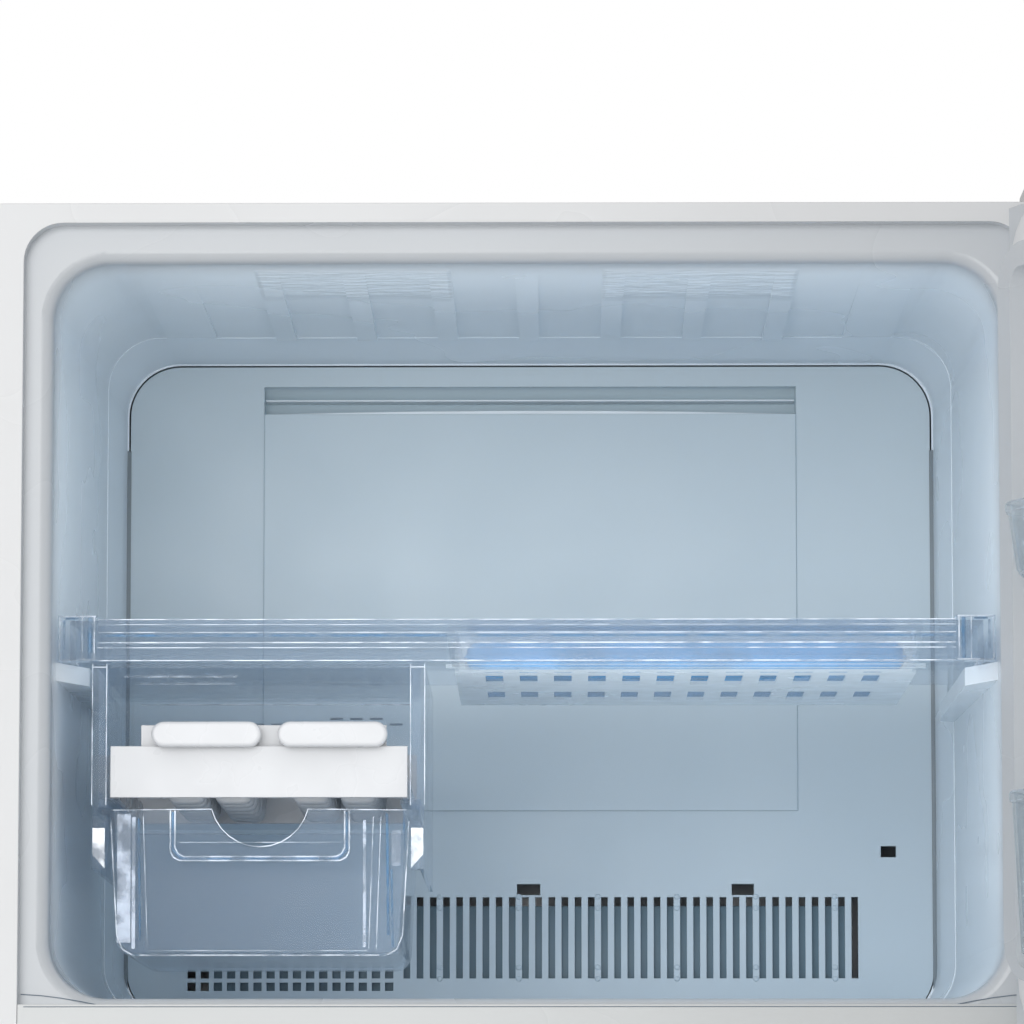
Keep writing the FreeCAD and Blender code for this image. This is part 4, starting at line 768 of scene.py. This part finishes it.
class FRIDGE_OT_ice_maker_trim(bpy.types.Operator):
    """Beads and guides in painted highlight, painted pale and dark blue reflections, and painted shade in slots,
    on the clear ice maker housing and bin
    """
    bl_idname = "fridge.ice_maker_trim"
    bl_label = "Ice maker trim"

    def execute(self, context):
        self.housing()
        self.bin()
        return {"FINISHED"}

    def housing(self):
        low, high = box("ice_housing")
        bin_top = box("ice_bin")[1].z
        front = low.y - 0.2
        highlight_beads, guides = Form(), Form()
        for side, outer in ((-1, low.x), (1, high.x)):
            far, near = outer + side * 0.2, outer - side * 9.2
            for x in (far, near):
                highlight_beads.bead([(x, front, bin_top + 2), (x, front, high.z - 1)], 0.33)
            highlight_beads.bead([(far, front, high.z - 3), (near, front, high.z - 3)], 0.39)
            highlight_beads.bead([(outer - side * 3, y, bin_top + 1) for y in (front + 14, high.y - 4)], 0.45)
            slant = 9 if side < 0 else 0
            far, near = sorted((outer - side * 0.6, outer - side * 8.6))
            profile = [(far, low.z + 27), (far, low.z + slant + 0.5), (near, low.z + 9.5 - slant),
                       (near, low.z + 27)]
            guides.loft([[(x, y, z) for x, z in profile] for y in (front - 0.6, front + 1)])
        for left, right, y, drop, radius in ((14, 14, high.y - 5, 5, 0.45),
                                             (16, high.x - low.x - 92, low.y + 60, 3.6, 0.52),
                                             (22, high.x - low.x - 88, low.y + 110, 3.6, 0.39)):
            highlight_beads.bead([(x, y, high.z - drop) for x in (low.x + left, high.x - right)], radius)
        # Beads in the clear highlight finish: painted highlights along the housing's edges; the rail-end guides
        # are real, their white finish a painted highlight.
        highlight_beads.done("ice_housing_highlight_beads", "cabinet", "clear_plastic", finish=FINISHES["clear highlight"])
        guides.done("ice_housing_guides", "cabinet", "clear_plastic", finish=FINISHES["white highlight"])
        # Dark dashes in the shade finish: painted shade in the housing's slots.
        rows = [dict(count=count, start=(low.x + x, high.y - 4.4, high.z - drop), step=(14, 0, 0),
                     size=(9, 2, 1.2)) for count, x, drop in ((8, 96, 19), (3, 152, 15))]
        repeated("ice_housing_slot_shades", "cabinet", "clear_plastic", Repeat("block"), rows,
                 finish=FINISHES["shade"])

    def bin(self):
        low, high = box("ice_bin")
        rim = 5.8
        left, right = low.x + rim, high.x - rim
        front, back, floor, top = low.y, high.y, low.z, high.z
        lean = 4 / (top - floor)
        highlight_beads, pale_reflections, dark_reflection_beads = Form(), Form(), Form()

        def on_front(*points):
            """Points of X and Z laid on the leaning front."""
            return [(x, front - 0.3 + lean * (top - z), z) for x, z in points]

        def recess(inset, *half):
            """A line round the recess, from its left half of offsets and drops."""
            one = [(left + inset + x, top - drop) for x, drop in half]
            return on_front(*one, *[(left + right - x, z) for x, z in reversed(one)])

        # Bright beads along the bin's edges are painted highlights.
        arc = []
        for step in range(13):
            angle = math.radians(194 + 152 * step / 12)
            arc.append(((left + right) / 2 + 33 * math.cos(angle), top + 8 + 33 * math.sin(angle)))
        highlight_beads.bead(on_front((left + 2, top - 0.6), *arc, (right - 2, top - 0.6)), 0.42)
        for inset, drop in ((40, 34), (43, 31.5)):
            highlight_beads.bead(recess(inset, (0, 1), (0, drop - 6), (2, drop - 2), (6, drop)), 0.6)
        highlight_beads.bead(recess(46, (0, 22)), 0.23)
        for x, across in ((left + 22, 3), (right - 24, -3), (right - 19, -3)):
            highlight_beads.bead(on_front((x, top - 5), (x + across, floor + 5)), 0.29)
        highlight_beads.bead(on_front((left + 20, floor + 0.6), (right - 20, floor + 0.6)), 0.52)
        highlight_beads.bead(on_front((left + 26, floor + 3.6), (right - 28, floor + 3.6)), 0.26)
        for side, edge in ((-1, left), (1, right)):
            highlight_beads.bead([(edge - side * inset, front + y, z) for inset, y, z in
                        ((0.4, 1, top - 8), (4.6, 4, floor + 14), (8.5, 4, floor + 4.5),
                         (15, 4, floor + 0.8))], 0.45)
            highlight_beads.bead([(edge - side * 16, y, floor + 0.6) for y in (front + 5, back - 5)], 0.39)
            highlight_beads.bead([(edge + side * 5, y, top - 0.4) for y in (front + 4, back - 4)], 0.39)
        highlight_beads.bead([(x, back - 0.6, top - 0.5) for x in (left + 2, right - 2)], 0.39)
        highlight_beads.done("ice_bin_highlight_beads", "ice_drawer", "clear_plastic", finish=FINISHES["clear highlight"])
        # Pale sheets near the bin's front sides are painted pale reflections.
        for x, half, drop, rise in ((left + 9, 4.5, 3, 9), (left + 15.5, 1.2, 5, 5),
                                    (right - 9, 3, 14, 60), (right - 30, 1, 7, 6)):
            pale_reflections.loft([[(x + side * half, front + y + thick, z) for side, y, z in
                         ((-1, 2.6, top - drop), (1, 2.6, top - drop), (1, 5.4, floor + rise),
                          (-1, 5.4, floor + rise))] for thick in (0, 0.4)])
        pale_reflections.done("ice_bin_pale_reflections", "ice_drawer", "clear_plastic", finish=FINISHES["pale reflection"])
        # Dark blue beads on the bin's front are painted dark reflections.
        for x, drop, rise, radius in ((right - 15, 3, 14, 0.9), (right - 12, 40, 6, 0.7),
                                      (right - 4, 1, 70, 0.6), (left + 19, 6, 10, 0.5)):
            dark_reflection_beads.bead(on_front((x, top - drop), (x + 1, floor + rise)), radius)
        dark_reflection_beads.bead(recess(41.6, (0, 2), (0, 26.8), (6, 32.8)), 0.8)
        dark_reflection_beads.done("ice_bin_dark_reflections", "ice_drawer", "clear_plastic", finish=FINISHES["dark reflection"])


class FRIDGE_OT_cool_pack(bpy.types.Operator):
    """Blue cool pack with a seam flange round it"""
    bl_idname = "fridge.cool_pack"
    bl_label = "Cool pack"

    def execute(self, context):
        low, high = box("cool_pack")
        form = Form()
        form.upright([(z, low.x + inset, high.x - inset, low.y + inset, high.y - inset, 10)
                      for z, inset in (
                          (low.z, 10), (low.z + 1.2, 5), (low.z + 5, 2.2), (low.z + 8.5, 2),
                          (low.z + 8.7, 0), (low.z + 10, 0), (low.z + 10.2, 2),
                          (high.z - 5, 2.2), (high.z - 1.2, 5), (high.z, 10))])
        form.done("gel_pack", "cabinet", "cool_pack_film", ("cool_pack",))
        return {"FINISHED"}


class FRIDGE_OT_shelf_trim(bpy.types.Operator):
    """Painted highlights and dark blue painted reflections along the clear shelf rail and its end brackets"""
    bl_idname = "fridge.shelf_trim"
    bl_label = "Shelf trim"

    def execute(self, context):
        low, high = box("shelf_rail")
        shelf_low, shelf_high = box("freezer_shelf")
        front, bottom, inner = low.y + 3, shelf_low.z, high.x - 26
        # Bright beads are painted highlights, dark beads painted dark reflections on the clear rail.
        bright, dark = Form(), Form()
        for height, radius in ((0.3, 0.4), (8.8, 0.3), (12.2, 0.45), (19, 0.3), (24.2, 0.2),
                               (27.6, 0.35)):
            bright.bead([(x, front + 2.6, bottom + height) for x in (-inner, inner)], radius)
        for side in (-1, 1):
            for x, radius in ((inner + 2, 0.5), (high.x - 1.2, 0.6), (inner + 10, 0.4)):
                bright.bead([(side * x, front - 0.1, z) for z in (bottom + 1, high.z - 1)], radius)
            for z in (bottom + 0.6, high.z - 0.6):
                bright.bead([(side * x, front - 0.1, z) for x in (inner + 1, high.x - 1)], 0.6)
            bright.bead([(side * (high.x - 11), y, bottom + 0.4)
                         for y in (shelf_low.y + 4, shelf_high.y - 4)], 0.5)
            dark.bead([(side * (inner + 5), front + 0.2, z) for z in (bottom + 1.5, high.z - 1.5)], 1.3)
            dark.bead([(side * (high.x - 4), front + 0.4, z) for z in (bottom + 8, high.z - 3)], 0.8)
            dark.bead([(side * x, front + 0.4, high.z - 2) for x in (inner + 12, high.x - 5)], 0.7)
        dark.bead([(x, front + 3.4, bottom + 17) for x in (2 - inner, inner - 2)], 0.9)
        bright.done("shelf_bright_lines", "cabinet", "clear_plastic", finish=FINISHES["clear highlight"])
        dark.done("shelf_dark_reflections", "cabinet", "clear_plastic", finish=FINISHES["dark reflection"])
        return {"FINISHED"}


class FRIDGE_OT_mullion_seam_shades(bpy.types.Operator):
    """Painted shade in the curved gaps at the ends of the mullion strip and a line of painted shade under its
    front edge
    """
    bl_idname = "fridge.mullion_seams"
    bl_label = "Mullion seam shades"

    def execute(self, context):
        low, high = box("mullion_cover")
        # Dark beads painted as the shade in the gaps round the mullion strip.
        form = Form()
        form.bead([(x, low.y - 0.05, high.z - 1.6) for x in (low.x + 4, high.x - 4)], 0.3)
        for side in (-1, 1):
            form.bead([(side * (high.x - inset), low.y + 11.7, high.z + rise) for inset, rise in
                       ((1, 7), (14, 6.2), (27, 4.6), (40, 2.4), (50, 0.4))], 0.35)
        form.done("mullion_seams", "cabinet", "mullion_plastic", finish=FINISHES["shade"])
        return {"FINISHED"}


class FRIDGE_OT_grille_pegs(bpy.types.Operator):
    """Pegs of the intake grille, a dark sheet behind it painted as shade and standing for an air baffle, and
    strips of painted shadow at the cover's sides
    """
    bl_idname = "fridge.grille_pegs"
    bl_label = "Grille pegs"

    def execute(self, context):
        low, high = box("freezer_back_panel")
        pitch = 9.57
        rows = [dict(count=6, start=(3 * pitch - 94.4, low.y + 1.4, low.z + level),
                     step=(6 * pitch, 0, 0), size=(4.4, 1.6, 4.2)) for level in (30.7, 39, 82, 90.3)]
        repeated("grille_pegs", "cabinet", "panel_plastic", Repeat("dome"), rows)
        side_seam_shade, shade_sheet = Form(), Form()
        # Dark strips at the cover's sides: painted shadow in the gaps.
        for side in (-1, 1):
            edge = side * (high.x + 1.3)
            side_seam_shade.pad((edge - 1.9, low.y + 0.6, low.z + 3), (edge + 1.9, low.y + 1.6, high.z - 62), 0.4)
        side_seam_shade.done("cover_side_seam_shades", "cabinet", "panel_plastic", finish=FINISHES["side_seam_shade"])
        # Dark sheet behind the grille: painted shade seen through the slots, standing for an air baffle.
        shade_sheet.pad((low.x + 60, low.y + 9, low.z + 3), (high.x - 60, low.y + 10, low.z + 84), 0.4)
        shade_sheet.done("grille_shade_backing", "cabinet", "panel_plastic", finish=FINISHES["shade_sheet"])
        return {"FINISHED"}


# ---------------------------------------------------------------- pieces of the doors

class FRIDGE_OT_door_bins(bpy.types.Operator):
    """Clear door bins with a bowed front and a rim, with beads of painted highlight along the rim"""
    bl_idname = "fridge.door_bins"
    bl_label = "Door bins"

    def execute(self, context):
        for name in NODES:
            if "_bin_" in name:
                self.bin(name, name.split("_")[0] + "_door")
        return {"FINISHED"}

    def bin(self, name, body):
        low, high = door_limits(name)
        half = (high.x - low.x) / 2
        middle = (high.x + low.x) / 2
        wall = 2.4
        bow = 0.10

        def ring(z, inset, radius):
            points = []
            for x, y in rounded(low.x + inset, high.x - inset, low.y + min(inset, wall), high.y - inset,
                                radius, 7):
                share = (x - middle) / half
                points.append((x, low.y + (y - low.y) * (1 - bow * share * share), z))
            return points

        taper = 6
        rings = [ring(low.z, taper + 8, 12), ring(low.z + 1.5, taper + 3.5, 15),
                 ring(low.z + 6, taper, 18), ring(high.z - 7, 1.6, 20), ring(high.z - 6, 0.2, 20),
                 ring(high.z - 1.5, 0, 20), ring(high.z, 1, 20), ring(high.z, wall + 0.4, 18),
                 ring(high.z - 6, wall + 1.6, 17), ring(low.z + 7, taper + wall, 15),
                 ring(low.z + 3, taper + wall + 4, 12)]
        form = Form()
        form.loft(rings)
        form.done(name + "_tub", body, "clear_plastic", (name,), FINISHES["bin"], on_door=True)
        # Beads of painted highlight along the rim and foot of the tub.
        rim = Form()
        rim.bead(ring(high.z - 0.7, 1.2, 19), 0.7, closed=True)
        rim.bead(ring(high.z - 6.5, 0.9, 19), 0.5, closed=True)
        rim.bead(ring(low.z + 3.5, taper + 2, 16), 0.7, closed=True)
        rim.done(name + "_highlight_beads", body, "clear_plastic", finish=FINISHES["clear highlight"], on_door=True)


class FRIDGE_OT_gaskets(bpy.types.Operator):
    """Door gaskets: a flap, a bellows fold and a magnet bulb round each door"""
    bl_idname = "fridge.gaskets"
    bl_label = "Gaskets"

    def execute(self, context):
        for door in ("freezer", "fridge"):
            low, high = door_limits(door + "_door_gasket")
            width = 21
            limits = (low.x + width, high.x - width, low.z + width, high.z - width)
            base, top = low.y, high.y
            profile = [(0.5, 0.0), (20.5, 0.0), (20.8, 1.4), (15.5, 2.4), (18.5, 4.6), (18.8, 6.0),
                       (15.0, 6.9), (19.2, 8.6), (19.6, 10.4), (17.0, 11.1), (5.5, 11.1), (3.0, 10.2),
                       (3.4, 8.4), (6.0, 6.9), (3.2, 5.6), (3.6, 4.2), (6.5, 2.4), (0.2, 1.4)]
            scale = (top - base) / 11.2
            form = Form()
            form.frame_loop(limits, 16, [(out, base + up * scale) for out, up in profile])
            form.done(door + "_gasket_fold", door + "_door", "gasket_rubber", (door + "_door_gasket",),
                      on_door=True, smooth=60.0)
        return {"FINISHED"}


class FRIDGE_OT_handles(bpy.types.Operator):
    """End caps and inlays of the door handles"""
    bl_idname = "fridge.handles"
    bl_label = "Handle trim"

    def execute(self, context):
        for door in ("freezer", "fridge"):
            low, high = door_limits(door + "_door_handle")
            form = Form()
            x_low, x_high = low.x + 5, high.x - 5
            form.pad((x_low, low.y, low.z + 24), (x_high, low.y + 2, high.z - 24), 0.9)
            for z in (low.z, high.z - 2):
                form.pad((low.x + 0.8, low.y + 2, z), (high.x - 0.8, high.y - 2, z + 2), 0.9)
            form.done(door + "_handle_trim", door + "_door", "handle_metal",
                      finish=FINISHES["grey_plastic"], on_door=True)
        return {"FINISHED"}


# ---------------------------------------------------------------- pieces of the refrigerator room

class FRIDGE_OT_shelf_edges(bpy.types.Operator):
    """White front trims of the glass shelves and the crisper cover"""
    bl_idname = "fridge.shelf_edges"
    bl_label = "Shelf edges"

    def execute(self, context):
        low, high = box("glass_shelves")
        cover_low, cover_high = box("crisper_cover")
        form = Form()
        levels = [(low.y, level / MM - 9, level / MM + 8)
                  for level in context.scene.fridge_sizes.shelves]
        levels.append((cover_low.y, cover_high.z - 17, cover_high.z + 0.5))
        for front, z_low, z_high in levels:
            profile = [(0, z_low + 2), (-0.8, z_low + 5), (-1.2, (z_low + z_high) / 2),
                       (-0.8, z_high - 3), (1.0, z_high), (9.0, z_high), (12.0, z_high - 2.4),
                       (12.0, z_high - 3.4), (6.4, z_high - 3.6), (6.4, z_low)]
            form.across([(front + y, z) for y, z in profile], low.x - 0.4, high.x + 0.4)
        form.done("shelf_front_trims", "cabinet", "white_plastic")
        return {"FINISHED"}


class FRIDGE_OT_crisper_fronts(bpy.types.Operator):
    """Grip lips and rim beads of the crispers"""
    bl_idname = "fridge.crisper_fronts"
    bl_label = "Crisper fronts"

    def execute(self, context):
        for side in ("left", "right"):
            low, high = box("crisper_" + side)
            front = low.y + 9
            form = Form()
            grip_low, grip_high = low.x + 62, high.x - 62
            profile = [(-9.4, high.z - 11.5), (-9.8, high.z - 14), (-9.4, high.z - 22),
                       (-7.4, high.z - 22), (-6.6, high.z - 16.5), (0.6, high.z - 16.5),
                       (0.6, high.z - 11.5)]
            form.across([(front + y, z) for y, z in profile], grip_low, grip_high)
            outline = [(x, y, high.z - 0.8) for x, y in
                       rounded(low.x + 1.2, high.x - 1.2, front + 1.2, high.y - 1.2, 3)]
            form.bead(outline, 1.1, closed=True)
            form.done("crisper_trim_" + side, "crisper_" + side + "_drawer", "crisper_plastic",
                      finish=FINISHES["white_plastic"])
        return {"FINISHED"}


class FRIDGE_OT_room_controls(bpy.types.Operator):
    """Ticks round the temperature knob, ribs of the lamp cover and frames of the air vents"""
    bl_idname = "fridge.room_controls"
    bl_label = "Room controls"

    def execute(self, context):
        knob_low, knob_high = box("control_knob")
        house_low = box("control_housing")[0]
        centre = ((knob_low.x + knob_high.x) / 2, house_low.y - 0.15, house_low.z + 17)
        repeated("knob_ticks", "cabinet", "white_plastic", Repeat("block", True),
                 [dict(count=12, start=centre, size=(2.6, 0.7, 0.5), radius=16.4,
                       turn=(math.radians(90), 0, 0))], finish=FINISHES["grey_plastic"])
        lamp_low, lamp_high = box("lamp_cover")
        pitch = 8
        count = int((lamp_high.x - lamp_low.x - 12) / pitch)
        repeated("lamp_ribs", "cabinet", "lamp_plastic", Repeat("block"),
                 [dict(count=count,
                       start=(lamp_low.x + 10, (lamp_low.y + lamp_high.y) / 2, lamp_low.z - 0.4),
                       step=(pitch, 0, 0), size=(2.6, lamp_high.y - lamp_low.y - 10, 1.2))])
        duct_low, duct_high = box("duct_cover")
        form = Form()
        for inset, z_inset in ((6, 8), (10, 12)):
            outline = rounded(duct_low.x + inset, duct_high.x - inset, duct_low.z + z_inset,
                              duct_high.z - z_inset, 9)
            form.bead([(x, duct_low.y + 0.1, z) for x, z in outline], 0.8, closed=True)
        form.done("duct_relief", "cabinet", "white_plastic")
        return {"FINISHED"}


# ---------------------------------------------------------------- pieces outside

class FRIDGE_OT_fasteners(bpy.types.Operator):
    """Screws of the hinges and the rear sheet"""
    bl_idname = "fridge.fasteners"
    bl_label = "Fasteners"

    def execute(self, context):
        head = context.scene.fridge_sizes.screw_head / MM
        dome = Repeat("dome")
        hinge_low, hinge_high = box("middle_hinge")
        z_mid = (hinge_low.z + hinge_high.z) / 2
        rows = [dict(count=3, start=(hinge_low.x + 9, CABINET_FRONT - 4, z_mid),
                     step=(14, 0, 0), size=(head * 1.1, 1.8, head * 1.1))]
        base_low, base_high = box("bottom_hinge")
        rows.append(dict(count=3, start=(base_low.x + 7, base_high.y - 4.2, base_low.z + 8),
                         step=(13, 0, 0), size=(head * 1.4, 1.8, head * 1.4)))
        repeated("hinge_screws", "cabinet", "hinge_steel", dome, rows)
        rear_low, rear_high = box("rear_panel")
        sheet = rear_high.y + 0.15
        across = (rear_high.x - rear_low.x - 30) / 5
        bay = 262
        up = (rear_high.z - bay - 15) / 8
        flat = (head * 2, 1.2, head * 2)
        rows = [dict(count=6, start=(rear_low.x + 15, sheet, z), step=(across, 0, 0), size=flat)
                for z in (bay, rear_high.z - 10)]
        rows += [dict(count=7, start=(x, sheet, bay + up), step=(0, 0, up), size=flat)
                 for x in (rear_low.x + 8, rear_high.x - 8)]
        repeated("rear_screws", "cabinet", "steel_sheet", dome, rows)
        return {"FINISHED"}


class FRIDGE_OT_compressor_trim(bpy.types.Operator):
    """Weld seam, pipe stubs and feet grommets of the compressor"""
    bl_idname = "fridge.compressor_trim"
    bl_label = "Compressor trim"

    def execute(self, context):
        low, high = box("compressor")
        radius = 62
        x_mid = low.x + radius + 14
        y_mid = (low.y + high.y) / 2
        form = Form()
        belt = []
        for step in range(40):
            angle = math.tau * step / 40
            belt.append((x_mid + (radius + 0.4) * math.cos(angle),
                         y_mid + (radius + 0.4) * math.sin(angle), low.z + 92))
        form.bead(belt, 2.2, closed=True)
        for x_off, top in ((-30, 26), (14, 34)):
            form.bead([(x_mid + x_off, y_mid + 20, high.z - 16),
                       (x_mid + x_off, y_mid + 20, high.z - 16 + top)], 3)
        form.done("compressor_seam", "cabinet", "compressor_paint")
        repeated("compressor_grommets", "cabinet", "foot_plastic", Repeat("disc"),
                 [dict(count=2, start=(x_mid - radius - 2, y_mid + y_off, low.z + 12),
                       step=(2 * radius + 4, 0, 0), size=(24, 24, 7))
                  for y_off in (-32, 32)])
        return {"FINISHED"}


class FRIDGE_OT_foot_knurls(bpy.types.Operator):
    """Grip knurls round the feet"""
    bl_idname = "fridge.foot_knurls"
    bl_label = "Foot knurls"

    def execute(self, context):
        block = Repeat("block", True)
        for side in ("left", "right"):
            low, high = box("foot_" + side)
            centre = ((low.x + high.x) / 2, (low.y + high.y) / 2, low.z + 6)
            repeated("foot_knurls_" + side, "front_foot_" + side, "foot_plastic", block,
                     [dict(count=28, start=centre, size=(1.6, 1.6, 7), radius=16.6)])
        return {"FINISHED"}


class FRIDGE_OT_fan_rim(bpy.types.Operator):
    """Hub cap of the fan"""
    bl_idname = "fridge.fan_rim"
    bl_label = "Fan hub"

    def execute(self, context):
        low, high = box("fan_blade")
        x_mid, z_mid = (low.x + high.x) / 2, (low.z + high.z) / 2
        form = Form()
        rings = []
        for y, radius in ((0.4, 10.6), (-1.2, 10.0), (-2.6, 7.5), (-3.2, 3.0), (-3.3, 0.6)):
            rings.append([(x_mid + radius * math.cos(math.tau * step / 24), low.y + y,
                           z_mid + radius * math.sin(math.tau * step / 24)) for step in range(24)])
        form.loft(rings)
        form.done("fan_hub_cap", "fan", "fan_plastic")
        return {"FINISHED"}


# ---------------------------------------------------------------- stage

class FRIDGE_OT_stage(bpy.types.Operator):
    """Make the floor, the light and the camera"""
    bl_idname = "fridge.stage"
    bl_label = "Stage"

    def execute(self, context):
        stage = context.scene.fridge_stage
        front = CABINET_FRONT * MM
        self.floor()
        self.daylight(context.scene, stage.daylight)
        self.lamp("Front light", (-0.9, front - 3.4, 1.8), (0.0, front, 1.3), 2.2, stage.key)
        for name, node in (("Freezer light", "freezer_liner"), ("Fridge light", "fridge_liner")):
            low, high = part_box(node)
            middle = (low + high) / 2
            spot = (middle.x, front + 0.02, middle.z)
            lamp = self.lamp(name, spot, (middle.x, 0.0, middle.z), 0.58, stage.room)
            lamp.data.shape = "RECTANGLE"
            lamp.data.size_y = high.z - low.z - 0.1
            lamp.data.energy = stage.room * lamp.data.size_y / 0.4
            lamp.visible_camera = False
        camera = bpy.data.objects.new("Camera", bpy.data.cameras.new("Camera"))
        context.scene.collection.objects.link(camera)
        camera.data.lens = stage.lens
        camera.data.sensor_width = 36.0
        camera.data.clip_end = 50.0
        camera.data.shift_y = stage.shift
        camera.location = (stage.side, front - stage.distance, stage.eye)
        camera.rotation_euler = (math.radians(90 + stage.tilt), 0.0, math.radians(stage.pan))
        context.scene.camera = camera
        context.scene.view_settings.view_transform = "Standard"
        return {"FINISHED"}

    def floor(self):
        mesh = bpy.data.meshes.new("Floor")
        half = 12.0
        mesh.from_pydata([(-half, -half, 0), (half, -half, 0), (half, half, 0), (-half, half, 0)],
                         [], [(0, 1, 2, 3)])
        floor = bpy.data.objects.new("Floor", mesh)
        bpy.context.scene.collection.objects.link(floor)
        pale = Finish("Pale floor", 0.7, edge=False)
        pale.colour(pale.drift((0.82, 0.82, 0.82), 0.01, 1.5))
        mesh.materials.append(pale.done())

    def daylight(self, scene, strength):
        world = bpy.data.worlds.new("White room")
        world.use_nodes = True
        tree = world.node_tree
        sky = tree.nodes["Background"]
        sky.inputs["Color"].default_value = (1.0, 1.0, 1.0, 1.0)
        paths = tree.nodes.new("ShaderNodeLightPath")
        level = tree.nodes.new("ShaderNodeMapRange")
        level.inputs[3].default_value = strength
        level.inputs[4].default_value = 1.0
        tree.links.new(paths.outputs["Is Camera Ray"], level.inputs[0])
        tree.links.new(level.outputs[0], sky.inputs["Strength"])
        scene.world = world

    def lamp(self, name, spot, target, size, power):
        data = bpy.data.lights.new(name, "AREA")
        data.size = size
        data.energy = power
        lamp = bpy.data.objects.new(name, data)
        lamp.location = spot
        aim = Vector(target) - Vector(spot)
        lamp.rotation_euler = aim.to_track_quat("-Z", "Y").to_euler()
        bpy.context.scene.collection.objects.link(lamp)
        return lamp


# ---------------------------------------------------------------- panel and start

STEPS = (FRIDGE_OT_finish_frame, FRIDGE_OT_air_slot, FRIDGE_OT_ice_trays, FRIDGE_OT_ice_maker_trim,
         FRIDGE_OT_cool_pack, FRIDGE_OT_shelf_trim, FRIDGE_OT_mullion_seam_shades, FRIDGE_OT_grille_pegs,
         FRIDGE_OT_door_bins, FRIDGE_OT_gaskets, FRIDGE_OT_handles, FRIDGE_OT_shelf_edges,
         FRIDGE_OT_crisper_fronts, FRIDGE_OT_room_controls, FRIDGE_OT_fasteners,
         FRIDGE_OT_compressor_trim, FRIDGE_OT_foot_knurls, FRIDGE_OT_fan_rim, FRIDGE_OT_stage)


class FRIDGE_PT_panel(bpy.types.Panel):
    """Lists the steps in order"""
    bl_idname = "FRIDGE_PT_panel"
    bl_label = "Refrigerator"
    bl_space_type = "VIEW_3D"
    bl_region_type = "UI"
    bl_category = "Refrigerator"

    def draw(self, context):
        for step in STEPS:
            self.layout.operator(step.bl_idname)


GROUPS = {"fridge_colours": FridgeColours, "fridge_sizes": FridgeSizes, "fridge_stage": FridgeStage}


def register():
    for kind in (*GROUPS.values(), *STEPS, FRIDGE_PT_panel):
        bpy.utils.register_class(kind)
    for name, kind in GROUPS.items():
        setattr(bpy.types.Scene, name, PointerProperty(type=kind))


def unregister():
    for name in GROUPS:
        delattr(bpy.types.Scene, name)
    for kind in reversed((*GROUPS.values(), *STEPS, FRIDGE_PT_panel)):
        bpy.utils.unregister_class(kind)


def main():
    register()
    for step in STEPS:
        group, name = step.bl_idname.split(".")
        getattr(getattr(bpy.ops, group), name)()


if __name__ == "__main__":
    main()
